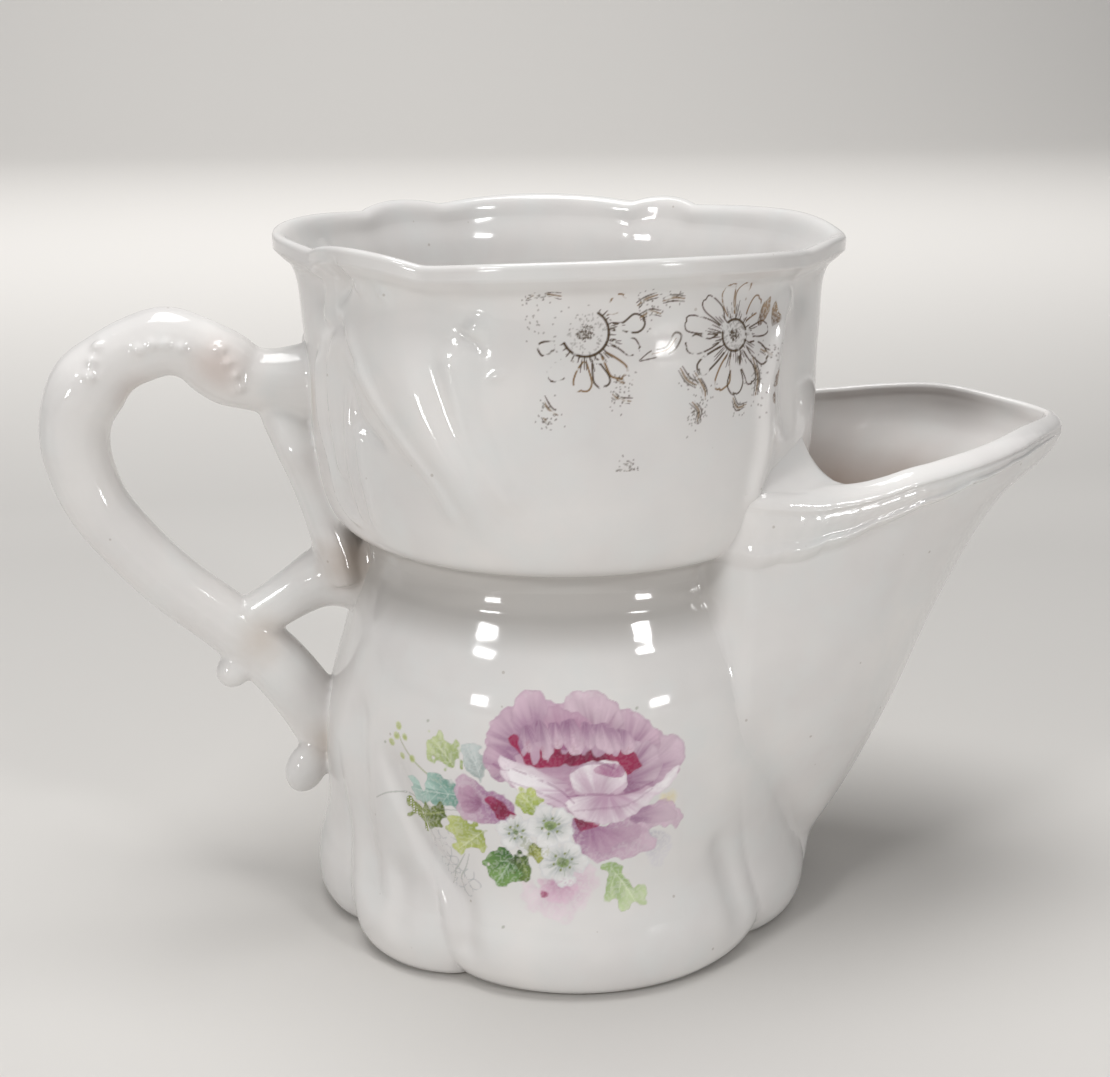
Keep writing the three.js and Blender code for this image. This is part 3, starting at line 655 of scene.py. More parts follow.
def lay_sheet(name, rows, paint=None):
    """Lays a sheet of clay with a vertex for each place of equal rows, and paints it where paint is given."""
    deep, wide = len(rows), len(rows[0])
    lay_down_tools()
    bpy.ops.mesh.primitive_grid_add(x_subdivisions=wide - 1, y_subdivisions=deep - 1, size=1,
                                    location=(0, 0, 0))
    piece = name_piece(name)
    flat = np.empty(len(piece.data.vertices) * 3)
    piece.data.vertices.foreach_get("co", flat)
    flat = flat.reshape(-1, 3) + 0.5
    column = np.rint(flat[:, 0] * (wide - 1)).astype(int)
    line = np.rint(flat[:, 1] * (deep - 1)).astype(int)
    set_clay(piece, np.array(rows)[line, column])
    if paint is not None:
        coat = piece.data.color_attributes.new("paint", "FLOAT_COLOR", "POINT")
        coat.data.foreach_set("color", np.asarray(paint, np.float32)[line, column].ravel())
    return piece


rows = []
stretches = []
for line, stretch, share in spout_rows():
    left, right = (spout_end(line, stretch, share, side) for side in (-1, 1))
    rows.append(np.vstack([left * (1, -1, 1), right[::-1][1:]]))
    stretches.append(stretch)
last = rows[-1]
centre = last.mean(axis=0)
for share in (0.4, 0.8, 1):
    rows.append(blend(last, centre, share) - (0, 0, 0.6 * share))
# Tea-brown staining in the throat, deeper where water stood
stain = np.zeros((len(rows), len(rows[0]), 4))
stain[..., :3] = tone("#9c7450")
for number in range(stretches.index("inside"), len(rows)):
    stain[number, :, 3] = 0.06 + 0.8 * smoothstep(-rows[number][:, 2], -69, -52)
spout = lay_sheet("brush_spout_shell", rows, stain)
face_outwards(spout, 0.01)
smooth_skin(spout)

THROAT_INSET, THROAT_BACK = 3.4, 27.0


def throat_ring(z):
    """A closed ring a little inside the spout's inner walls, run back through the belly's wall."""
    x, y = (side[::5] for side in side_line(np.full(SIDE_STEPS + 1, z), THROAT_INSET))
    wide = min(y[0], 0.96 * THROAT_BACK)
    back = THROAT_BACK * math.cos(math.asin(wide / THROAT_BACK)) - 4
    level = np.full_like(x, z)
    return np.array([(back, -wide, z), *zip(x, -y, level), *zip(x[-2::-1], y[-2::-1], level), (back, wide, z),
                     (back, -wide, z)])


throat = [throat_ring(z) for z in np.linspace(13.5, 52.5, 14)]
lowest, highest = (np.tile(ring.mean(axis=0), (len(ring), 1)) for ring in (throat[0], throat[-1]))
cutter = lay_sheet("throat_cutter", [lowest, *throat, highest])
face_outwards(cutter, 0.01)
cut_away(belly, cutter)
smooth_skin(belly, 50)


# Branch handle

# The branch as places along it with its thickness at each, in millimetres
BRANCH = [(-35.6, 82.4, 12.6), (-38.6, 82.4, 11.4), (-42, 82.6, 10), (-45.4, 83.2, 9.4), (-48, 84.3, 10.6),
          (-50.6, 86, 10.6), (-53.2, 87.8, 9.6), (-57, 89, 10), (-61, 88, 9.9), (-65, 86, 9.8),
          (-68.4, 82.8, 11.2), (-70.66, 78.2, 10.4), (-70.86, 72.4, 9.9), (-68.6, 65.2, 9.4),
          (-64, 58.6, 9.2), (-58.4, 52.4, 9.2), (-52.6, 47.4, 9.2), (-47.6, 42.8, 9.4), (-43.2, 38, 9.6),
          (-39.2, 32, 9.6), (-37, 26.8, 8.6), (-36.4, 22.4, 4.2)]
HANDLE_LINE = run_through(BRANCH, 0.8)
HANDLE_FLATNESS = 0.94


def roll(name, points, thickness):
    """A rolled length of clay along points, with its own thickness at each."""
    lay_down_tools()
    bpy.ops.curve.primitive_bezier_curve_add()
    piece = bpy.context.object
    piece.name = name
    curve = piece.data
    curve.splines.clear()
    curve.dimensions = "3D"
    spline = curve.splines.new("POLY")
    spline.points.add(len(points) - 1)
    for spot, place, size in zip(spline.points, points, thickness):
        spot.co = (*at(*place), 1)
        spot.radius = size / 2 * MM
    curve.bevel_depth = 1
    curve.bevel_resolution = 6
    curve.use_fill_caps = True
    piece.location = (0, 0, 0)
    bpy.ops.object.convert(target="MESH")
    return name_piece(name)


def dab(name, place, size, tilt=0.0):
    """A dab of clay: a squeezed ball."""
    lay_down_tools()
    bpy.ops.mesh.primitive_uv_sphere_add(segments=32, ring_count=20, radius=MM, align="WORLD",
                                         location=at(*place), rotation=(0, tilt, 0), scale=size)
    piece = name_piece(name)
    fix_in_place(piece)
    return piece


def roll_flat(name, line):
    """A rolled length in the handle's own plane."""
    return roll(name, [(x, 0, z) for x, z, _ in line], line[:, 2])


strut_line = run_through([(-52, 43.6, 6.6), (-48, 45.8, 7), (-44, 48.2, 7.4), (-40, 50.6, 8),
    (-36.6, 52.4, 9.6), (-33, 53.2, 12), (-29, 53.4, 14)], 0.8)
fin_line = run_through([(-42, 83, 4.5), (-41.4, 79.5, 7), (-39.4, 74.5, 7.6), (-37.4, 69, 7.2),
    (-35.6, 63.5, 7.2), (-34, 58, 7.6), (-32.6, 53, 8)], 0.8)
clays = [roll_flat("limb", HANDLE_LINE), roll_flat("strut", strut_line)]
fin = roll_flat("fin", fin_line)
places = clay(fin)
places[:, 1] *= 1 + 0.9 * (1 - smoothstep(places[:, 2], 72, 81))
set_clay(fin, places)
clays.append(fin)
clays.append(dab("upper_bud", (-50.4, -1.6, 38.7), (2.6, 2.4, 2.9), 0.5))
clays.append(dab("lower_bud", (-40.2, -3, 22.5), (3.1, 2.8, 4.2), 0.4))
# Beads along the knuckles and the arch, on both faces
BEADS = [(-49.4, 88.2), (-48.6, 86.4), (-47.8, 84.6), (-47.2, 82.8), (-60.7, 88.6), (-58.8, 89.3),
         (-56.8, 89.3), (-54.9, 88.7), (-66.4, 88.9), (-67.2, 87), (-67.6, 85)]
for number, (x, z) in enumerate(BEADS):
    away = np.hypot(HANDLE_LINE[:, 0] - x, HANDLE_LINE[:, 1] - z)
    depth = math.sqrt(max((HANDLE_LINE[away.argmin(), 2] / 2) ** 2 - away.min() ** 2, 1)) - 0.3
    for face in (-1, 1):
        clays.append(dab(f"bead_{number}", (x, face * depth, z), (1, 1, 1)))
for piece in clays:
    places = clay(piece)
    places[:, 1] *= HANDLE_FLATNESS
    set_clay(piece, places)
# A patch of the body's own wall, sunk at its borders, for the handle to grow out of
PATCH_STEPS, PATCH_THICK = 70, 0.8
patch_angles = np.linspace(159, 203, PATCH_STEPS)
patch_sunk = 0.16 + 0.8 * smoothstep(np.abs(patch_angles - 181), 7, 19)
outer = np.array([skin_places(patch_angles, np.full(PATCH_STEPS, z), -patch_sunk)
                  for z in np.linspace(15, 91.5, 153)])
shrink = np.array([1 - PATCH_THICK / 36, 1 - PATCH_THICK / 36, 1])
rings = [np.vstack([row, (row * shrink)[::-1], row[:1]]) for row in outer]
ends = [np.tile(ring[:PATCH_STEPS].mean(axis=0), (len(ring), 1)) for ring in (rings[0], rings[-1])]
patch = lay_sheet("wall_patch", [ends[0], *rings, ends[1]])
handle = join_clay("branch_handle", *clays, patch)
face_outwards(handle, 0.001)
take(handle)
handle.data.remesh_voxel_size = 0.37 * MM
bpy.ops.object.voxel_remesh()
open_up(handle)
bpy.ops.mesh.vertices_smooth(factor=0.5, repeat=10)
lay_down_tools()
smooth_skin(handle)


# Printed sprays

def off_stretch(across, up, start, end):
    """Squared distance of places from a straight stretch, and the share of the way along it."""
    (x0, y0), (x1, y1) = start, end
    dx, dy = x1 - x0, y1 - y0
    share = np.clip(((across - x0) * dx + (up - y0) * dy) / (dx * dx + dy * dy + 1e-12), 0, 1)
    return (across - x0 - share * dx) ** 2 + (up - y0 - share * dy) ** 2, share


class Print:
    """A ceramic transfer laid on the body: fields of colour and ink over millimetres right and up."""

    def __init__(self, angle, height, left, right, low, high, gap, seed):
        self.angle, self.height = angle, height
        self.u = np.linspace(left, right, round((right - left) / gap) + 1)
        self.v = np.linspace(low, high, round((high - low) / gap) + 1)
        self.across, self.up = np.meshgrid(self.u, self.v)
        self.colour = np.ones((*self.across.shape, 3)) * tone("#b08a9c")
        self.ink = np.zeros(self.across.shape)
        self.seed = seed

    def grain(self, where, size, seed):
        """Soft random tone from 0 to 1 in a window, in grains of a size in millimetres."""
        return self.mottle(self.across[where] / size, self.up[where] / size, seed)

    def mottle(self, x, y, seed):
        lattice = np.random.default_rng(self.seed + seed).random((64, 64))
        x, y = x + 500, y + 500
        i, j = np.floor(x).astype(int), np.floor(y).astype(int)
        fx, fy = smoothstep(x - i, 0, 1), smoothstep(y - j, 0, 1)
        low, high = (blend(lattice[i % 64, row % 64], lattice[(i + 1) % 64, row % 64], fx)
                     for row in (j, j + 1))
        return blend(low, high, fy)

    def window(self, points, margin):
        low, high = np.min(points, axis=0)[:2] - margin, np.max(points, axis=0)[:2] + margin
        across = slice(*np.searchsorted(self.u, [low[0], high[0]]))
        up = slice(*np.searchsorted(self.v, [low[1], high[1]]))
        return up, across

    def lay(self, where, colour, ink):
        """Prints a colour over what is there."""
        cover = np.clip(ink, 0, 1)[..., None]
        under = self.ink[where][..., None]
        total = cover + under * (1 - cover)
        mixed = (colour * cover + self.colour[where] * under * (1 - cover)) / np.maximum(total, 1e-6)
        self.colour[where] = np.where(total > 1e-6, mixed, self.colour[where])
        self.ink[where] = total[..., 0]

    def inside(self, where, outline):
        """Distance inside a closed outline, negative outside."""
        across, up = self.across[where], self.up[where]
        best = np.full(across.shape, np.inf)
        odd = np.zeros(across.shape, bool)
        for (x0, y0), (x1, y1) in zip(outline, np.roll(outline, -1, axis=0)):
            best = np.minimum(best, off_stretch(across, up, (x0, y0), (x1, y1))[0])
            if y0 != y1:
                odd ^= ((y0 > up) != (y1 > up)) & (across < (x1 - x0) * (up - y0) / (y1 - y0) + x0)
        return np.where(odd, 1, -1) * np.sqrt(best)

    def line(self, points, width, colour, ink=1.0, wear=0.0, taper=True):
        """A drawn line, worn away in places."""
        run = run_through(points, 0.35) if len(points) > 2 else np.linspace(points[0], points[-1], 12)
        where = self.window(run, width * 2)
        across, up = self.across[where], self.up[where]
        if across.size == 0:
            return
        best = np.full(across.shape, np.inf)
        spot = np.zeros(across.shape)
        for i, (start, end) in enumerate(zip(run, run[1:])):
            away, share = off_stretch(across, up, start, end)
            spot = np.where(away < best, (i + share) / (len(run) - 1), spot)
            best = np.minimum(best, away)
        half = width / 2 * (0.45 + 0.55 * np.sin(np.pi * spot.clip(0.04, 0.96)) if taper else 1)
        cover = 1 - smoothstep(np.sqrt(best), half * 0.6, half * 1.25 + 0.05)
        if wear:
            worn = self.grain(where, 1.1, 7) + 0.5 * self.grain(where, 0.4, 8)
            cover = cover * smoothstep(worn, wear, wear + 0.25)
        self.lay(where, tone(colour), cover * ink)

    def shape(self, points, middle, deep, pale, ink=1.0, reach=7.0, edge=None, ragged=0.2, streaks=0.35,
              stipple=0.18, soft=0.14, seed=0):
        """A petal or leaf: deep at its root, pale at its rim, with streaks that run out from the root."""
        outline = run_through(np.vstack([points, points[:3]]), 0.5)
        outline = outline[: np.argmin(np.hypot(*(outline[8:] - outline[0]).T)) + 8]
        where = self.window(outline, 0.6)
        across, up = self.across[where], self.up[where]
        depth = self.inside(where, outline) + ragged * (self.grain(where, 0.9, seed) - 0.5) * 2
        away = np.hypot(across - middle[0], up - middle[1])
        turned = np.arctan2(up - middle[1], across - middle[0])
        streak = (self.mottle(turned * 6, away * 0.25, seed + 1) * 0.7
                  + self.mottle(turned * 17, away * 0.4, seed + 2) * 0.3)
        share = smoothstep(away / reach + 0.6 * streaks * (streak - 0.5), 0.02, 1)
        shade = (0.93 + 0.14 * self.grain(where, 1.7, seed + 5))[..., None]
        colour = blend(tone(deep), tone(pale), share[..., None]) * shade
        if edge:
            rim = (1 - smoothstep(depth, 0.05, 0.45)) * (0.5 + 0.5 * self.grain(where, 1.6, seed + 3))
            colour = blend(colour, tone(edge), 0.3 * rim[..., None])
        cover = smoothstep(depth, -soft, soft) * (1 - stipple * (self.grain(where, 0.28, seed + 4) > 0.55))
        self.lay(where, colour, cover * ink)

    def leaf(self, points, root, tip, deep, pale, vein, ink=1.0, seed=0):
        """A lobed leaf with a midrib and three pairs of side veins."""
        root, tip = np.array(root, float), np.array(tip, float)
        length = tip - root
        self.shape(points, root, deep, pale, ink, np.hypot(*length) * 1.1, deep, 0.85, 1.1, 0.22, seed=seed)
        self.line([root, blend(root, tip, 0.5) + (0.15, 0.1), tip], 0.22, vein, 0.4)
        side = left_of(length) * 0.3
        for share in (0.2, 0.42, 0.64):
            start = blend(root, tip, share)
            for vein_side in (side, -side):
                self.line([start, start + vein_side * (1 - share) + length * 0.2], 0.15, vein, 0.3)

    def blossom(self, middle, size, turned, seed=0):
        """A small white five-petalled flower with a green eye."""
        middle = np.array(middle, float)
        for i in range(5):
            ahead = ahead_at(turned + i * math.tau / 5)
            petal = [middle + size * (a * ahead + b * left_of(ahead)) for a, b in BLOSSOM_PETAL]
            self.shape(petal, middle, "#9fa9a4", "#ecebea", 0.95, size * 0.85, "#a4a9b3", 0.34, 0.9, 0.34,
                       0.12, seed + i)
            self.line([middle + ahead * size * 0.25, middle + ahead * size * 0.6], 0.16, "#93a08c", 0.5)
        self.shape([middle + size * 0.24 * ahead_at(a) for a in np.arange(0, 6.2, 0.8)],
                   middle, "#55702f", "#93a860", 0.9, size * 0.3, None, 0.3, 0.6, 0.2, 0.12, seed + 9)
        for a in np.arange(0.3, 6.2, 1.05):
            spot = middle + size * 0.36 * ahead_at(a)
            self.line([spot, spot + (0.06, 0.1)], 0.3, "#7d8a3a", 0.9, taper=False)

    def piece(self, name, proud=0.02):
        """The transfer as a thin sheet that hugs the body, with its border tucked under the glaze."""
        border = np.minimum(np.minimum(self.across - self.u[0], self.u[-1] - self.across),
                            np.minimum(self.up - self.v[0], self.v[-1] - self.up))
        lift = blend(-0.03, proud, smoothstep(border, 0, 2))
        degrees = self.angle + np.degrees(self.u / RELIEF_RADIUS)
        rows = [skin_places(degrees, np.full_like(self.u, self.height + up), here)
                for up, here in zip(self.v, lift)]
        sheet = lay_sheet(name, rows, np.concatenate([self.colour, self.ink[..., None]], -1))
        open_up(sheet)
        bpy.ops.mesh.normals_make_consistent(inside=False)
        lay_down_tools()
        smooth_skin(sheet)
        return sheet


# One petal of a white blossom, as shares of its size ahead and aside
BLOSSOM_PETAL = ((0.1, 0), (0.35, 0.3), (0.75, 0.42), (1.0, 0.2), (0.93, 0), (1.0, -0.2), (0.75, -0.42),
                 (0.35, -0.3))


# The rose spray

rose = Print(angle=258.4, height=31, left=-28.8, right=21.4, low=-21.4, high=16.6, gap=0.16, seed=11)
HEART_DEEP, HEART_PALE, STEM = "#7c0f38", "#a3325e", "#8b9486"
rose.line([(-28.2, -5.5), (-24.5, -3.3), (-20.5, -3), (-16.5, -3.5), (-12.1, -2.9)], 0.2, STEM, 0.5)
rose.line([(-22.6, 6.4), (-21.6, 4.8), (-19.5, 2.9), (-16, 1), (-12.7, 0.3)], 0.24, "#a6b082", 0.75)
BUD = ((0.55, 0), (0.2, 0.6), (-0.5, 0.3), (-0.4, -0.4), (0.2, -0.5))
for spot in ((-22.9, 5.9), (-21.3, 6.1), (-21.9, 3), (-20, 3.2), (-24, 4.6), (-22.6, 7.4)):
    rose.shape([np.array(spot) + step for step in BUD], spot, "#a8b45e", "#d7dca9", 0.85, 1, None, 0.15)
# A pale pink flower at the foot of the spray, half worn away, and two worn scraps on the right
WORN_PETALS = [
    ([(-3.5, -12.3), (-2, -13.2), (-0.3, -13.6), (2, -12.2), (4, -11.4), (6.2, -10.4), (7.4, -12.4),
     (6.6, -14.4), (6, -16), (4.6, -16.8), (3, -18.4), (1.4, -18), (-0.8, -17.6), (-2.9, -16.3),
     (-3.4, -14.2)], (2.4, -13), "#c592b4", "#ecd8e1", 0.62, 5.5, "#d9b7ca", 0.5, 0.6, 0.3, 0.5, 3),
    ([(-1, -12.6), (1.4, -12.4), (3.8, -12.6), (4.6, -14.6), (2.4, -16), (0, -15.2)], (1.6, -12.4), "#b9789f",
     "#e3c0d2", 0.6, 3.6, None, 0.3, 0.6, 0.3, 0.3, 4),
    ([(14.7, -5.6), (17.9, -6.9), (18.2, -9), (16.3, -12), (14.6, -10), (14.2, -7.6)], (14, -6), "#aaa5b4",
     "#dcd8de", 0.5, 6, None, 0.3, 0.5, 0.5, 0.3, 5),
    ([(16.4, -0.2), (18.4, -0.4), (18.6, -1.8), (16.8, -2)], (17.4, -1), "#dfcb84", "#efe6bf", 0.5, 2, None,
     0.4, 0.3, 0.3, 0.5),
]
for petal in WORN_PETALS:
    rose.shape(*petal)
LEAVES_BEHIND = [
    ([(-20.3, 0.3), (-19.2, -0.2), (-18.3, -0.9), (-17.4, 0.4), (-16.4, 1.6), (-14.4, 1.4), (-12.7, 1.6),
     (-11.8, -0.4), (-12.4, -2.5), (-14, -2.6), (-16, -2.9), (-18.4, -3.4), (-20.3, -2.9), (-20.8, -1.2)],
     (-12.4, -0.6), (-20, -1.4), "#6d9a8c", "#b4d0c6", "#dfeae4", 0.95, 20),
    ([(-16.9, 7.5), (-15, 7.9), (-13.2, 7.2), (-12.2, 5.4), (-12.4, 3.4), (-13.4, 3), (-14.5, 3.6),
     (-16, 3.9), (-17.2, 4.8)], (-12.8, 3.4), (-16.4, 7), "#8ea352", "#c9d49a", "#e6ebc9", 0.9, 24),
    ([(-11.8, 6.8), (-10, 7), (-8.6, 6.3), (-8, 4.6), (-8.3, 3), (-10, 2.4), (-11.7, 3.2), (-12.2, 5)],
     (-9, 2.6), (-11, 6.6), "#8b9c9a", "#c4cfcd", "#e2e8e6", 0.8, 28),
    ([(-22.2, -4.2), (-20.6, -3.6), (-18.8, -4), (-16.4, -2.8), (-14.2, -3.2), (-15, -4.8), (-16.2, -6.2),
     (-17.2, -6.6), (-18.8, -8.5), (-19.4, -7), (-19.7, -6), (-21.4, -5.8)], (-14.4, -3.6), (-20.6, -6),
     "#5c6c2b", "#8d9a4c", "#c3cb8c", 1, 32),
    ([(-14.2, -3.9), (-13, -3.6), (-11.8, -4.1), (-10.2, -4.6), (-8.4, -5.7), (-8.6, -7.4), (-9.4, -8.7),
     (-11, -9), (-12.3, -10), (-13.4, -9.2), (-13.6, -8.1), (-14.6, -6)], (-9, -5.8), (-12.8, -9.2),
     "#9aa752", "#c8cf86", "#e9ecc6", 1, 36),
]
for leaf in LEAVES_BEHIND:
    rose.leaf(*leaf)
rose.line([(-11.9, -9.9), (-13, -12), (-13.8, -13.2), (-14.4, -15.5)], 0.2, STEM, 0.5)
rose.line([(-11.2, -9.8), (-11.8, -12), (-12.8, -14.1), (-12.4, -16.4)], 0.18, STEM, 0.45)
# Outlined blossoms, nearly worn away
FAINT_PETAL = ((0.15, 0), (0.5, 0.34), (0.95, 0.16), (0.95, -0.16), (0.5, -0.34), (0.15, 0))
for middle, size in (((-15.5, -8.6), 2.6), ((-11.9, -14.4), 2.4), ((-14.6, -12.2), 2)):
    for i in range(5):
        ahead = ahead_at(i * 1.257 + size)
        rose.line([np.array(middle) + size * (a * ahead + b * left_of(ahead)) for a, b in FAINT_PETAL], 0.16,
                  "#a3a9ab", 0.5, 0.45)
# The second flower, on the left
rose.shape([(-12.4, 2), (-11, 2.9), (-9.3, 1.6), (-7.9, 1), (-5.6, 0.4), (-4, -1.6), (-5.2, -3.6),
           (-7.7, -4.5), (-9.8, -4.6), (-11.8, -4.1), (-12.8, -2.6), (-12.5, -1.1), (-13.2, 0.4)],
           (-6.4, -1.8), "#a27398", "#cdb2c2", 1, 7, "#a98ba0", 0.35, 0.9, seed=40)
rose.shape([(-12.2, 0.8), (-10.4, 1), (-8.8, -0.8), (-9.6, -2.8), (-11.6, -3), (-12.3, -1.2)], (-8.6, -1.2),
           "#8a5078", "#bf99b0", 0.9, 4, "#c4a4b8", 0.3, 0.8, seed=41)
rose.shape([(-7.9, 0.5), (-6, -0.4), (-4, -2.5), (-5.2, -3.2), (-6.6, -3.7), (-7.6, -1.7), (-8.8, -0.8)],
           (-6, -2), HEART_DEEP, HEART_PALE, 1, 3, None, 0.5, 1, seed=42)
# Lower petals of the rose, and the ground that the others lie on
rose.shape([(4.2, -2.8), (6.8, -3.6), (8.7, -4.1), (12.6, -2.1), (15.6, -1.2), (18.4, -2), (19.6, -3.8),
           (19.5, -5.8), (16.5, -5.2), (14.3, -5.5), (15.6, -7.2), (15.5, -8.6), (13.6, -9), (11.8, -9.8),
           (9.6, -9), (7.8, -10.1), (5.6, -8.6), (4.2, -6.7), (3.4, -4.6)], (6, -3), "#a67b9b", "#d8bfcd", 1,
           12, "#b596aa", 0.45, 0.9, seed=44)
rose.shape([(6, -3.6), (9.6, -4.6), (13.4, -4.4), (13.6, -6.6), (10.6, -7), (8, -8.4), (5.6, -6.6)],
           (6, -3.2), "#9f6d90", "#c4a2b7", 0.8, 7.5, "#c8adbd", 0.4, 0.9, seed=45)
rose.shape([(12.2, -2.4), (15.4, -1.8), (18.2, -2.8), (18.6, -4.8), (15.2, -4.4), (12.4, -4)], (11.4, -3),
           "#9f7595", "#d6becb", 0.9, 7, "#b394a8", 0.35, 0.9, seed=46)
rose.shape([(4, -2.6), (7.3, -3.5), (6.6, -4.6), (4.6, -5)], (4.6, -3), HEART_DEEP, HEART_PALE, 0.95, 3, None,
           0.5, 1, seed=47)
rose.shape([(-8.2, 8), (-7.6, 10.4), (-6.2, 12.2), (-4.4, 13.6), (-1, 15.2), (1.6, 13.6), (4.6, 14.4),
           (8.6, 14.4), (11, 12.4), (14, 11), (16.4, 8.6), (19.6, 6.6), (19.4, 3.6), (17, 1.2), (14.6, -0.6),
           (11, -2.4), (8, -3.6), (5, -2.8), (1.4, -1), (-3.4, 1.5), (-6.4, 3.2), (-8.4, 5.2)], (5, 4),
           "#b994ab", "#cdb0c1", 1, 12, "#b79bad", 0.4, 1, 0.05, 0.1, 48)
# The rose: back petals, the deep heart, the petal tips that hang over it, and the pale petals in front
BACK_PETALS = [
    ([(-8.1, 7.4), (-7.9, 9.9), (-6.3, 12.5), (-4, 12.9), (-2.9, 11.1), (-2.5, 8.8), (-3.6, 6.8), (-6.3, 6)],
     (-2.5, 7.6), "#9f7494", "#d6bac9"),
    ([(13.9, 8.8), (16.4, 8.8), (19.4, 7.4), (20.1, 5.7), (19.1, 3.4), (16.4, 0.9), (13.9, 2), (12.8, 4.8)],
     (12.8, 3.4), "#a07595", "#dbc3d0"),
    ([(-8.1, 7.4), (-8.7, 5.1), (-7.4, 3.1), (-5.5, 2.3), (-3.6, 3.1), (-4.1, 6), (-6.3, 7.1)], (-3.3, 4.7),
     "#9c6f90", "#d3b6c6"),
    ([(7.9, 12.2), (10.7, 12.7), (13.9, 11.2), (16, 8.8), (15.8, 6), (13.4, 5.1), (10.7, 7.1)], (10.7, 5.7),
     "#9f7292", "#d8bccb"),
    ([(2.9, 13.1), (3.3, 14.8), (6, 15.7), (8.4, 14.8), (10.7, 12.5), (10.7, 9.9), (7.9, 8.8), (4.6, 10.5)],
     (6.8, 7.6), "#a27a94", "#dfc8d3"),
    ([(-5.1, 11.1), (-4.5, 13.9), (-2.7, 15.3), (-0.8, 15.7), (0.2, 14.4), (0.4, 11.6), (-0.3, 8.8),
     (-2.5, 8.8)], (-0.8, 7.8), "#9a6d8f", "#dabfcd"),
    ([(-0.3, 11.1), (0.5, 13.4), (3, 12.9), (5.2, 12.2), (6.3, 10.5), (5.5, 8), (1.9, 7.7)], (3, 6.8),
     "#9c5c84", "#d0b0c2"),
    ([(11.7, 8.2), (13.9, 8), (16.2, 5.7), (15.6, 3.1), (13.4, 2), (12, 5.1)], (11.2, 3.7), "#a37796",
     "#dcc6d2"),
]
for outline, middle, deep, pale in BACK_PETALS:
    rose.shape(outline, middle, deep, pale, 1, 7.5, "#a58299", 0.35, 0.95, 0.16, 0.1,
               len(outline) + round(middle[0]))
rose.shape([(-5.1, 8.8), (-4, 9.4), (-2.9, 6.5), (-2.2, 8.8), (-1.4, 5.3), (-0.3, 8), (0.5, 5.7), (1.6, 8.8),
           (2.5, 6.8), (4.1, 8), (5.2, 6.5), (6.3, 7.7), (7.1, 6.2), (8.5, 7.1), (9.6, 6.2), (10.7, 7.4),
           (12, 6.8), (13.4, 4), (12, 3.4), (11.5, 1.9), (10.1, 3), (8.5, 4.7), (6.3, 5.1), (4.1, 5.3),
           (1.9, 5.1), (-0.8, 4.6), (-2.5, 5.3)], (6, 9), "#6e0a33", "#9c2450", 1, 7, None, 0.3, 1, 0.1, 0.14,
           60)
PETAL_TIPS = [
    ([(-1.6, 11.1), (-0.3, 11.2), (1, 8.8), (0.7, 6.6), (-0.1, 6.2), (-1, 8.2)], (-0.9, 12.2)),
    ([(1.9, 11.4), (4.1, 11.6), (5.5, 8.8), (4.8, 6.9), (3.4, 7.1), (2.3, 8.8)], (3, 12.8)),
    ([(6.3, 10.8), (8.5, 10.8), (9.8, 8.5), (9.2, 6.6), (8, 6.8), (6.8, 8.4)], (7.4, 12.2)),
    ([(-3.3, 10.2), (-2.2, 10.8), (-1.3, 8.8), (-1.8, 7), (-2.8, 7.3)], (-3.1, 11.9)),
    ([(9.8, 10.2), (11.5, 9.7), (12.5, 7.4), (11.6, 6.3), (10.5, 6.9)], (10.7, 11.6)),
    ([(0.5, 11.1), (1.8, 11.1), (2.6, 8.8), (2, 7.6), (1.1, 8)], (1.3, 12.3)),
    ([(4.9, 11.2), (6.3, 11), (6.9, 8.8), (6.3, 7.3), (5.5, 8.2)], (5.5, 12.3)),
    ([(8.5, 10.5), (9.8, 10.1), (10.7, 8.2), (10.1, 7), (9.2, 7.8)], (8.8, 11.8)),
]
for outline, middle in PETAL_TIPS:
    rose.shape(outline, middle, "#9a6f8f", "#dcc3d0", 0.95, 5.6, "#b494a8", 0.25, 1, 0.16, 0.1,
               5 + round(middle[0]))
FRONT_PETALS = [
    ([(10.9, 3.1), (12.8, 4.1), (15.1, 5.3), (16.6, 4.1), (15.1, 1.9), (13, 0.7), (10.8, 0.7)], (10.7, 2.4),
     "#9c6f8f", "#dcc7d2"),
    ([(-6.3, 6.5), (-4, 5.5), (-1.4, 4.7), (1.9, 3.2), (4.3, 1.1), (4.8, -1), (2.5, -1.2), (-0.8, 0.2),
     (-4.1, 1.6), (-6, 3.7)], (5.5, 2.4), "#b78fa9", "#eadde4"),
    ([(-5.2, 4.5), (-2.5, 4.1), (0.3, 3), (3, 1.1), (4.1, -1), (1.4, -0.7), (-1.9, 0.5), (-4.4, 2.1)],
     (5.2, 1.4), "#c6a6bc", "#f6f0f3"),
    ([(3.3, 3.8), (4.6, 5.1), (7.4, 5.8), (9.8, 5.2), (11.3, 3.1), (10.8, 1), (8.5, 0.2), (6.3, 0.6),
     (4.1, 1.4)], (7.1, -0.3), "#cdb0c2", "#fbf7f8"),
    ([(6.4, 4.5), (8.5, 5.5), (10.8, 4.6), (10.3, 3), (8, 3.4)], (8.5, 2.7), "#b37a9c", "#efe3e8"),
    ([(2.7, -0.4), (5.2, 1), (8.5, 0.4), (11.7, 0.4), (15, 1.2), (19, 3.8), (18.3, 1.7), (15.6, -0.4),
     (12.8, -2.4), (8.5, -3.9), (5.2, -3), (3.6, -1.8)], (8.5, 1.2), "#c4a0b8", "#f9f3f5"),
]
for outline, middle, deep, pale in FRONT_PETALS:
    rose.shape(outline, middle, deep, pale, 1, 8.5, "#c3a0b5", 0.25, 0.9, 0.1, 0.1,
               30 + len(outline) + round(middle[0]))
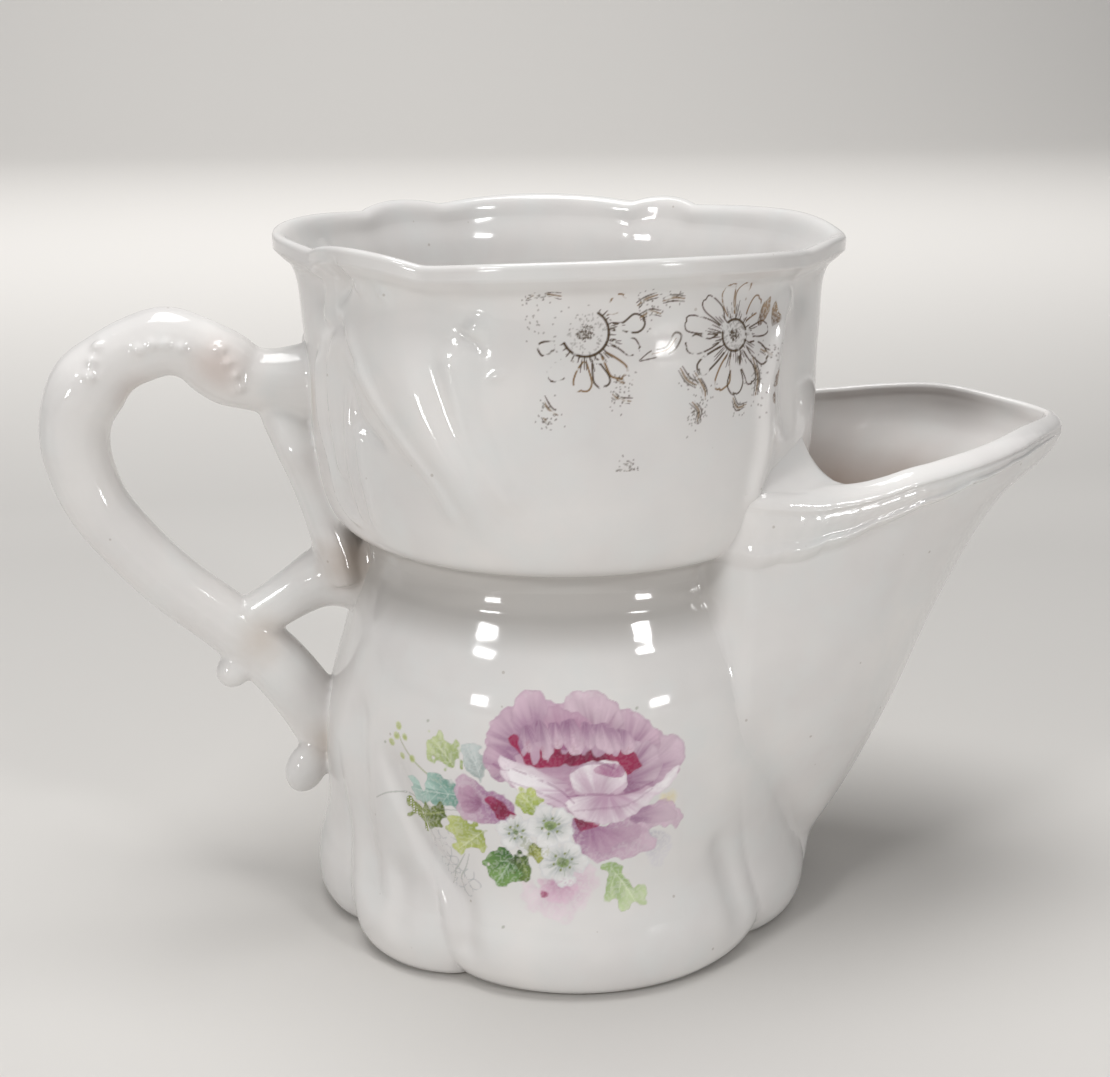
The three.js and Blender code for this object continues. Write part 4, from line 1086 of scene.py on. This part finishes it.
PETAL_FOLDS = [
    ([(-4.4, 4.4), (-1, 3.2), (2, 1.6), (4, -0.4)], 0.4),
    ([(-5, 2.6), (-2, 1.6), (1, 0.4), (3, -0.8)], 0.3),
    ([(3.4, 4), (5, 5.2), (7.4, 5.4), (9.6, 4.4)], 0.5),
    ([(3, 0.6), (6.4, 0.8), (11, 0.6), (15, 1.8)], 0.45),
    ([(4, -1.6), (7.4, -1.4), (11.4, -1.2), (15, 0.8)], 0.25),
    ([(-8.2, 5.6), (-6.4, 4.4), (-5, 4.2)], 0.4),
]
for points, ink in PETAL_FOLDS:
    rose.line(points, 0.4, "#8f4f7c", ink, 0.3)
# White blossoms and the leaves among them
LEAVES_IN_FRONT = [
    ([(-4.5, 0.7), (-3.2, 1.8), (-2.1, 1.6), (-0.9, 0.6), (-0.8, -1.1), (-2, -2), (-3.4, -1.9), (-4.6, -0.8)],
     (-1.4, -1.6), (-3.8, 1.2), "#93a546", "#c9d283", "#e8edc0", 1, 70),
    ([(-8.8, -10.4), (-7.8, -9), (-6.7, -7.6), (-5.6, -7.8), (-4.7, -8.8), (-3.4, -10), (-2.9, -11.9),
     (-4, -13), (-5.5, -13.6), (-6.4, -14.6), (-7.7, -14.3), (-8.2, -12.4)], (-4.4, -8.8), (-7.2, -13.8),
     "#3f6a35", "#7fa35c", "#cfe2cc", 1, 74),
    ([(-4.7, -8.3), (-3.4, -8.7), (-2.1, -9.5), (-1.4, -11), (-2.7, -12.8), (-3.8, -11.4), (-4.6, -10)],
     (-3.8, -8.6), (-2.6, -12.2), "#3c5424", "#6d8440", "#a8b878", 1, 78),
    ([(-2.8, -6.5), (-1.8, -6.2), (-0.8, -6.6), (0.2, -7.2), (0.6, -8.3), (-0.6, -9.2), (-1.8, -9.7),
     (-3, -8.4)], (-2.4, -6.8), (-0.4, -8.8), "#6f7a31", "#a7ab5a", "#d9dc9c", 1, 82),
    ([(8.1, -10.5), (9.2, -10.2), (10.5, -10.7), (10.8, -12.4), (12, -13.2), (13.6, -14.1), (14.4, -15.4),
     (14.2, -16.7), (12.6, -16.6), (11.1, -17.7), (10.4, -16.8), (10.2, -15.8), (8.8, -15.4), (8.6, -13.6),
     (9.2, -12.4)], (9.2, -10.8), (12.8, -16.4), "#8fae62", "#cbdca6", "#edf3da", 0.85, 86),
]
for leaf in LEAVES_IN_FRONT:
    rose.leaf(*leaf)
rose.blossom((-4.1, -5.2), 2.9, 0.4, 90)
rose.blossom((2.4, -9.6), 3.7, 1.1, 110)
rose.blossom((0.7, -4), 3.4, 0.75, 130)
rose.shape([(-0.5, -14.3), (0.3, -14.4), (0.3, -15.2), (-0.5, -15.3)], (-0.1, -14.8), "#99215a", "#b5487c",
           0.8, 1, seed=150)
for spot in ((-25.4, 4.2), (-6, -20), (-17.4, 9.4), (12.8, 12.6)):
    rose.line([spot, np.array(spot) + (0.12, 0.1)], 0.34, "#9a9f8c", 0.6, taper=False)
rose_print = rose.piece("rose_spray_print")


# The worn gilt daisies

gilt = Print(angle=285, height=93, left=-21.6, right=19.8, low=-16.8, high=9.2, gap=0.13, seed=5)
BROWN, GILT = "#4b3820", "#84653a"
# One petal of a daisy, as shares of its length and half width
DAISY_PETAL = [(0.08, 0.34), (0.35, 0.75), (0.7, 1), (0.92, 0.72), (0.99, 0.25), (0.95, 0), (1, -0.28),
               (0.92, -0.74), (0.7, -1), (0.35, -0.72), (0.08, -0.34)]


def daisy(middle, petals, ring, core, ring_from, ring_to):
    """An outlined daisy: petals round a ring with a hatched core, worn through in places."""
    middle = np.array(middle, float)
    rng = np.random.default_rng(gilt.seed + len(petals))
    for tip, wear in petals:
        tip = np.array(tip, float)
        length = np.hypot(*(tip - middle))
        ahead = (tip - middle) / length
        side = left_of(ahead)
        inner = length - ring
        root = middle + ahead * (ring + 0.35)
        wide = 0.1 * inner + 0.62
        loop = [root + ahead * inner * out * 0.94 + side * wide * (off + 0.12 * rng.normal())
                for out, off in DAISY_PETAL]
        width = 0.17 + 0.1 * rng.random()
        gilt.line(loop, width, BROWN if rng.random() < 0.8 else GILT, 0.95, wear, taper=False)
        for off in (-0.5, 0.1, 0.5):
            reach = 0.16 + 0.28 * rng.random()
            away = root + ahead * inner * reach + side * wide * off * 0.8
            gilt.line([root + side * wide * off * 0.5, away], 0.15, BROWN, 0.8, wear)
    gilt.line([middle + ring * ahead_at(a) for a in np.linspace(ring_from, ring_to, 14)], 0.34, BROWN, 0.95,
              0.4, taper=False)
    for a in np.linspace(ring_from, ring_to, 18):
        ahead = ahead_at(a)
        gilt.line([middle + ahead * (ring - 0.1), middle + ahead * (ring + 0.5 + 0.5 * rng.random())], 0.16,
                  BROWN, 0.85, 0.35)
    for spread, count, ink in ((core, 70, 0.75), (ring * 0.92, 90, 0.4)):
        for _ in range(count):
            angle, out = rng.random() * math.tau, spread * math.sqrt(rng.random())
            spot = middle + out * ahead_at(angle)
            dash = [spot, spot + rng.normal(size=2) * 0.1]
            gilt.line(dash, 0.16, BROWN, ink * (0.5 + 0.5 * rng.random()), taper=False)


def smudge(points, wear):
    """A small worn leaf: three short broken strokes side by side, with dots."""
    run = [np.array(point, float) for point in points]
    ahead = run[-1] - run[0]
    side = left_of(ahead) / max(np.hypot(*ahead), 0.1)
    rng = np.random.default_rng(round(abs(points[0][0] * 10)))
    for off, width in ((0, 0.3), (0.5, 0.22), (-0.45, 0.18)):
        gilt.line([point + side * off * (0.6 + 0.4 * rng.random()) for point in run], width,
                  BROWN if off else GILT, 0.8, wear + 0.12 * abs(off))
    for _ in range(16):
        spot = run[1] + rng.normal(size=2) * 0.8
        gilt.line([spot, spot + rng.normal(size=2) * 0.07], 0.16, BROWN, 0.6, taper=False)


daisy((-12.1, 2.5), [((-4.4, 3.7), 0.34), ((-5.2, 0.1), 0.5), ((-7.1, -3.1), 0.32), ((-9.8, -4.4), 0.36),
      ((-12.5, -4.9), 0.3), ((-16.4, -3.6), 0.78), ((-18, 0.4), 0.92), ((-7.2, 7), 0.8)], 3, 1.15, -2.7, 1)
daisy((9.3, 0.9), [((7.6, 7.9), 0.62), ((10.9, 7.9), 0.66), ((4.2, 6.2), 0.42), ((1.3, 3.4), 0.36), ((1.4, 0),
      0.36), ((3.3, -3.2), 0.32), ((6.4, -6), 0.34), ((9.4, -7), 0.32), ((12.6, -5.8), 0.36), ((15.3, -3),
      0.38), ((16, 1.2), 0.4), ((14.4, 5.4), 0.5)], 2.1, 0.8, 0, 6.2)
gilt.line([(-5.1, -1.2), (-3.5, -0.1), (-1.4, 0.3), (-0.2, 2), (0.8, 1.5), (-0.4, -0.3), (-2.6, -0.9),
          (-5, -1.3)], 0.24, BROWN, 0.9, 0.38)
gilt.line([(-3.4, -0.5), (-1.2, 0), (0, 1.3)], 0.16, GILT, 0.8, 0.3)
SMUDGES = [
    ([(-5.4, 5.8), (-4.4, 6.6), (-2.9, 7.1)], 0.3),
    ([(-2, 6.2), (-0.6, 6.6), (1, 6.4)], 0.35),
    ([(-5, 4.2), (-3.6, 4.9), (-2.2, 4.6)], 0.4),
    ([(-8.6, -5.4), (-7.6, -6.2), (-6.2, -6.4)], 0.35),
    ([(-8.4, -3.4), (-7, -4), (-5.8, -3.6)], 0.5),
    ([(-17.6, -5.8), (-16.8, -7.2), (-15.6, -8)], 0.55),
    ([(-17.4, -8.4), (-16.6, -9)], 0.6),
    ([(2.4, -7.2), (3.4, -8.4), (3.2, -9.8)], 0.35),
    ([(0.6, -2.6), (1.6, -4.2), (3, -5)], 0.3),
    ([(2.8, -3.4), (4.2, -5.6), (4.4, -7)], 0.35),
    ([(9, -7.4), (9.8, -8.8), (11.4, -8.6)], 0.3),
    ([(12.6, -2.6), (13.6, -5), (13.2, -7.6)], 0.25),
    ([(14.2, -1.6), (16.2, -2.6), (17.4, -3.2)], 0.4),
    ([(-19.4, 7.2), (-17.6, 7.8), (-15.2, 7.4)], 0.75),
    ([(-21, 7.4), (-20, 7.8)], 0.8),
    ([(-7.4, -15), (-6.4, -15.6), (-6.2, -16.2)], 0.7),
]
for run, wear in SMUDGES:
    smudge(run, wear)
GILT_LEAVES = [
    [(13.8, 1.6), (15.4, 2.2), (16.6, 3.6), (16.8, 5.4), (15.4, 4.6), (14.2, 3.2)],
    [(16.8, 1), (18.4, 1.8), (19, 3.6), (18.2, 4.6), (17.2, 3)],
    [(15.6, -6.6), (16.6, -5.2), (18, -4.6), (19.2, -4.6), (18.4, -6.2), (17, -7)],
    [(16.2, -7.4), (17.2, -8.6), (16.8, -9.4), (15.8, -8.6)],
]
for outline in GILT_LEAVES:
    gilt.shape(outline, outline[0], "#5d3f22", "#a98a63", 0.85, 4, "#4a331d", 0.2, 0.8, 0.4, 0.08, 7)
# Where the print is worn to scattered dots: a middle, and how far they spread across and up
WORN_SPOTS = [((-16.6, 4), (2.6, 2.4)), ((-6.6, -15.6), (0.9, 0.8)), ((3.2, -8.8), (0.8, 1)),
              ((13.4, -6), (0.6, 1.6))]
for number in range(150):
    rng = np.random.default_rng(number)
    middle, spread = WORN_SPOTS[number % len(WORN_SPOTS)]
    spot = np.array(middle) + rng.normal(size=2) * spread
    gilt.line([spot, spot + rng.normal(size=2) * 0.08], 0.17, BROWN, 0.5, taper=False)
gilt_print = gilt.piece("gilt_daisy_print")


# What each piece stands for

STANDS_FOR = {
    belly: ["reservoir_wall"], waist: ["waist_collar"], bowl: ["lather_bowl"], foot_ring: ["foot_ring"],
    floor_plate: ["base_plate"], drainer: ["soap_drainer"],
    spout: ["brush_spout", "spout_ruffle_front", "spout_ruffle_back"],
    handle: ["handle_root", "handle_arch", "handle_limb", "handle_tail", "handle_collar_front",
             "handle_collar_rear", "handle_strut", "handle_leaf", "upper_bud", "lower_bud"],
    rose_print: [], gilt_print: [],
}
for piece, nodes in STANDS_FOR.items():
    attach(piece, "root")
    if nodes:
        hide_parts(*nodes)


# Finishes

def add_node(tree, kind, settings=None, inputs=None):
    """Adds a node with its settings; each input takes a value or another node's socket."""
    node = tree.nodes.new(kind)
    for setting, value in (settings or {}).items():
        setattr(node, setting, value)
    for socket, value in (inputs or {}).items():
        if isinstance(value, bpy.types.NodeSocket):
            tree.links.new(value, node.inputs[socket])
        else:
            node.inputs[socket].default_value = value
    return node


def new_finish(name):
    material = bpy.data.materials.new(name)
    material.use_nodes = True
    tree = material.node_tree
    tree.nodes.clear()
    return material, tree


def mottled(tree, spot, size, detail=3.0, low=0.0, high=1.0, least=0.0, most=1.0):
    """Cloudy unevenness between two strengths, with clouds of a size in millimetres."""
    clouds = add_node(tree, "ShaderNodeTexNoise", None, {
        "Vector": spot, "Scale": 1 / (size * MM), "Detail": detail})
    return add_node(tree, "ShaderNodeMapRange", None, {
        "Value": clouds.outputs["Fac"], "From Min": low, "From Max": high, "To Min": least,
        "To Max": most}).outputs["Result"]


def stain_near(tree, spot, place, reach, strength):
    """A stain that is strongest at a place and fades out at a reach in millimetres, with an uneven border."""
    away = add_node(tree, "ShaderNodeVectorMath", {"operation": "DISTANCE"}, {0: spot, 1: at(*place)})
    uneven = add_node(tree, "ShaderNodeMath", {"operation": "ADD"}, {
        0: away.outputs["Value"], 1: mottled(tree, spot, 4, most=0.5 * reach * MM)})
    return add_node(tree, "ShaderNodeMapRange", {"interpolation_type": "SMOOTHSTEP"}, {
        "Value": uneven.outputs["Value"], "From Min": 1.25 * reach * MM, "From Max": 0.25 * reach * MM,
        "To Max": strength}).outputs["Result"]


# The fourth colour greys the waist's cove: partly thicker glaze, partly painted shade under the bowl's
# overhang
WHITE, SHADE, THICK_GLAZE, POOLED_GLAZE_AND_SHADE, IRON = "#e9e6e3", "#dddad8", "#e2e2e0", "#a39e98", "#86745f"
COVE_HEIGHT, COVE_RADIUS = 58.6, 30.6


def glazed_porcelain(name, painted=False, stains=(), throat=False):
    """Porcelain under a clear fired glaze. It gives the eye a cool white body with faint grey clouds, iron
    specks, a thicker glaze in patches, a grey cove at the waist that is partly thicker glaze and partly
    painted shade under the bowl's overhang, and a wet gloss whose small ripples break highlights.
    Painted: a fired transfer shows through, a little less glossy where the ink lies. Throat: that paint is a
    broken brown stain."""
    material, tree = new_finish(name)
    spot = add_node(tree, "ShaderNodeTexCoord").outputs["Object"]
    clouds = mottled(tree, spot, 19, 3, 0.3, 0.7)
    thick_glaze = mottled(tree, spot, 7, 4, 0.45, 0.8)
    # Iron specks: real ones are about 0.15 mm, drawn a little coarser so that they show
    cells = add_node(tree, "ShaderNodeTexVoronoi", None, {
        "Vector": spot, "Scale": 1 / (5.5 * MM), "Randomness": 1.0})
    speck = add_node(tree, "ShaderNodeMapRange", None, {
        "Value": cells.outputs["Distance"], "From Min": 0.05, "From Max": 0.03,
        "To Max": 0.35}).outputs["Result"]
    # The waist's cove is painted grey: partly glaze that ran in and lies there thicker and greyer, partly
    # painted shade under the bowl's overhang
    from_middle = add_node(tree, "ShaderNodeVectorMath", {"operation": "DISTANCE"}, {
        0: spot, 1: at(0, 0, COVE_HEIGHT)})
    past_cove = add_node(tree, "ShaderNodeMath", {"operation": "SUBTRACT"}, {
        0: from_middle.outputs["Value"], 1: COVE_RADIUS * MM})
    off_cove = add_node(tree, "ShaderNodeMath", {"operation": "ABSOLUTE"}, {0: past_cove.outputs["Value"]})
    cove_glaze_and_shade = add_node(tree, "ShaderNodeMapRange", {"interpolation_type": "SMOOTHSTEP"}, {
        "Value": off_cove.outputs["Value"], "From Min": 4.6 * MM, "From Max": 0.6 * MM,
        "To Max": 0.62}).outputs["Result"]
    coats = [(clouds, SHADE), (thick_glaze, THICK_GLAZE), (cove_glaze_and_shade, POOLED_GLAZE_AND_SHADE), (speck, IRON)]
    coats += [(stain_near(tree, spot, place, reach, strength), brown)
              for place, reach, brown, strength in stains]
    colour = from_hex(WHITE)
    for amount, coat in coats:
        colour = add_node(tree, "ShaderNodeMix", {"data_type": "RGBA"},
                          {0: amount, 6: colour, 7: from_hex(coat)}).outputs[2]
    rough = add_node(tree, "ShaderNodeMapRange", None, {
        "Value": thick_glaze, "To Min": 0.06, "To Max": 0.15}).outputs["Result"]
    if painted:
        drawn = add_node(tree, "ShaderNodeVertexColor", {"layer_name": "paint"})
        ink = drawn.outputs["Alpha"]
        if throat:
            ink = add_node(tree, "ShaderNodeMath", {"operation": "MULTIPLY"}, {
                0: ink, 1: mottled(tree, spot, 10, 3, 0.25, 0.75, 0.5)}).outputs["Value"]
        colour = add_node(tree, "ShaderNodeMix", {"data_type": "RGBA"},
                          {0: ink, 6: colour, 7: drawn.outputs["Color"]}).outputs[2]
        rough = add_node(tree, "ShaderNodeMath", {"operation": "MULTIPLY_ADD"}, {
            0: ink, 1: 0.08, 2: rough}).outputs["Value"]
    ripple = add_node(tree, "ShaderNodeMath", {"operation": "ADD"}, {
        0: mottled(tree, spot, 6, 2), 1: mottled(tree, spot, 1.6, 2, most=0.12)})
    bump = add_node(tree, "ShaderNodeBump", None, {
        "Strength": 0.5, "Distance": 0.05 * MM, "Height": ripple.outputs["Value"]})
    shader = add_node(tree, "ShaderNodeBsdfPrincipled", None, {
        "IOR": 1.52, "Base Color": colour, "Roughness": rough, "Normal": bump.outputs["Normal"]})
    add_node(tree, "ShaderNodeOutputMaterial", None, {"Surface": shader.outputs["BSDF"]})
    return material


def biscuit(name):
    """Unglazed porcelain of the foot ring. It gives the eye a dry, sandy matt surface, greyed and browned
    where it rubbed on tables, with grit marks."""
    material, tree = new_finish(name)
    spot = add_node(tree, "ShaderNodeTexCoord").outputs["Object"]
    worn = mottled(tree, spot, 5, 6, 0.35, 0.7)
    grit = mottled(tree, spot, 0.5, 3, 0.4, 0.75, most=0.4)
    colour = from_hex("#d9d0c3")
    for amount, coat in ((worn, "#a89a88"), (grit, "#7d7062")):
        colour = add_node(tree, "ShaderNodeMix", {"data_type": "RGBA"},
                          {0: amount, 6: colour, 7: from_hex(coat)}).outputs[2]
    bump = add_node(tree, "ShaderNodeBump", None, {"Strength": 0.7, "Distance": 0.2 * MM, "Height": grit})
    shader = add_node(tree, "ShaderNodeBsdfPrincipled", None, {
        "Roughness": 0.78, "IOR": 1.45, "Base Color": colour, "Normal": bump.outputs["Normal"]})
    add_node(tree, "ShaderNodeOutputMaterial", None, {"Surface": shader.outputs["BSDF"]})
    return material


porcelain = glazed_porcelain("glazed_porcelain")
bowl_porcelain = glazed_porcelain("bowl_porcelain", stains=[((-38, -6, 82), 6, "#b9a48f", 0.35)])
HANDLE_STAINS = [
    ((-33, -6, 56), 7, "#a08770", 0.48), ((-36, -3, 27), 6, "#ab957f", 0.5),
    ((-46, -3, 44), 6, "#b6a38f", 0.4), ((-50, -5, 86), 6, "#b9a296", 0.5), ((-63, 0, 83), 6, "#bda69a", 0.4)]
handle_porcelain = glazed_porcelain("handle_porcelain", stains=HANDLE_STAINS)
spout_porcelain = glazed_porcelain("stained_spout_porcelain", painted=True, throat=True)
transfer_porcelain = glazed_porcelain("printed_transfer_porcelain", painted=True)
FINISHES = {
    belly: porcelain, waist: porcelain, bowl: bowl_porcelain, floor_plate: porcelain, drainer: porcelain,
    spout: spout_porcelain, handle: handle_porcelain, foot_ring: biscuit("unglazed_biscuit_porcelain"),
    rose_print: transfer_porcelain, gilt_print: transfer_porcelain,
}
for piece, material in FINISHES.items():
    piece.data.materials.clear()
    piece.data.materials.append(material)


# Camera, light and floor

def hold(name, thing, place, towards):
    """Puts a camera or a lamp at a place and turns it towards another."""
    holder = bpy.data.objects.new(name, thing)
    holder.location = place
    holder.rotation_euler = (Vector(towards) - Vector(place)).to_track_quat("-Z", "Y").to_euler()
    bpy.context.scene.collection.objects.link(holder)
    return holder


def camera_for(pitch, azimuth, distance, target, lens):
    p, a = math.radians(pitch), math.radians(azimuth)
    back = Vector((math.sin(a) * math.cos(p), -math.cos(a) * math.cos(p), math.sin(p)))
    eye = bpy.data.cameras.new("camera")
    eye.lens = lens
    eye.sensor_width = 36
    eye.clip_start = 0.01
    bpy.context.scene.camera = hold("camera", eye, at(*target) + back * distance * MM, at(*target))


camera_for(pitch=17.4, azimuth=-8, distance=260.4, target=(-1, 0, 56.9), lens=55.14)

# Soft lamps in metres and watts: place, what each faces, size, power
LAMPS = {
    "left_window": ((-0.61, -0.53, 0.53), (0, 0, 0.06), (0.15, 0.1), 1.9),
    "right_window": ((0.47, -0.64, 0.55), (0, 0, 0.06), (0.13, 0.07), 1.2),
    "low_left_window": ((-0.66, -0.66, 0.11), (0, 0, 0.06), (0.13, 0.1), 0.95),
    "low_right_window": ((0.55, -0.76, 0.07), (0, 0, 0.06), (0.14, 0.07), 1.0),
    "top": ((-0.05, 0.02, 0.85), (0, 0, 0.05), (0.5, 0.5), 5.2),
    "backdrop_lamp": ((0, 0.5, 0.9), (0, 1.5, 0.6), (1.6, 0.4), 20),
}
for name, (place, towards, size, power) in LAMPS.items():
    lamp = bpy.data.lights.new(name, "AREA")
    lamp.shape = "RECTANGLE"
    lamp.size, lamp.size_y = size
    lamp.energy = power
    hold(name, lamp, place, towards)

world = bpy.data.worlds.new("studio")
world.use_nodes = True
bpy.context.scene.world = world
tree = world.node_tree
tree.nodes.clear()
# The room's dim light on the object, and the pale wall that is seen directly and in gloss and glass
looking = add_node(tree, "ShaderNodeLightPath").outputs
seen = looking["Is Camera Ray"]
for kind in ("Is Glossy Ray", "Is Transmission Ray"):
    seen = add_node(tree, "ShaderNodeMath", {"operation": "MAXIMUM"}, {
        0: seen, 1: looking[kind]}).outputs["Value"]
dim = add_node(tree, "ShaderNodeBackground", None, {"Color": from_hex("#dfe2e6"), "Strength": 0.17})
wall = add_node(tree, "ShaderNodeBackground", None, {"Color": from_hex("#b3b1ae"), "Strength": 1.0})
room = add_node(tree, "ShaderNodeMixShader", None, {
    0: seen, 1: dim.outputs["Background"], 2: wall.outputs["Background"]})
add_node(tree, "ShaderNodeOutputWorld", None, {"Surface": room.outputs["Shader"]})

# The floor's sheet in metres: its size, how far back its far edge lies, and the steps of its sweep
PAPER_SIZE, PAPER_BACK, SWEEP_STEPS, SWEEP_STEP, WALL_HEIGHT = 6, 1.4, 16, 0.08, 2


def sweep_of_paper():
    """The floor, swept up behind into a backdrop."""
    lay_down_tools()
    bpy.ops.mesh.primitive_plane_add(size=PAPER_SIZE, location=(0, PAPER_BACK - PAPER_SIZE / 2, 0))
    paper = name_piece("studio_paper")
    fix_in_place(paper)
    open_up(paper)
    bpy.ops.mesh.select_mode(type="EDGE")
    bpy.ops.mesh.select_all(action="DESELECT")
    bpy.ops.object.mode_set(mode="OBJECT")
    for edge in paper.data.edges:
        edge.select = all(paper.data.vertices[v].co.y > 1 for v in edge.vertices)
    bpy.ops.object.mode_set(mode="EDIT")
    for step in range(SWEEP_STEPS):
        rise = math.radians(90 * (step + 0.5) / SWEEP_STEPS)
        bpy.ops.mesh.extrude_edges_move(TRANSFORM_OT_translate={
            "value": (0, SWEEP_STEP * math.cos(rise), SWEEP_STEP * math.sin(rise))})
    bpy.ops.mesh.extrude_edges_move(TRANSFORM_OT_translate={"value": (0, 0, WALL_HEIGHT)})
    smooth_skin(paper)
    return paper


floor = sweep_of_paper()
material, tree = new_finish("matt_studio_paper")
# Matt paper: it gives the eye a plain, even ground with no gloss
shader = add_node(tree, "ShaderNodeBsdfPrincipled", None, {
    "Base Color": from_hex("#d6d3cf"), "Roughness": 0.9})
add_node(tree, "ShaderNodeOutputMaterial", None, {"Surface": shader.outputs["BSDF"]})
floor.data.materials.append(material)

scene = bpy.context.scene
scene.view_settings.view_transform = "Standard"
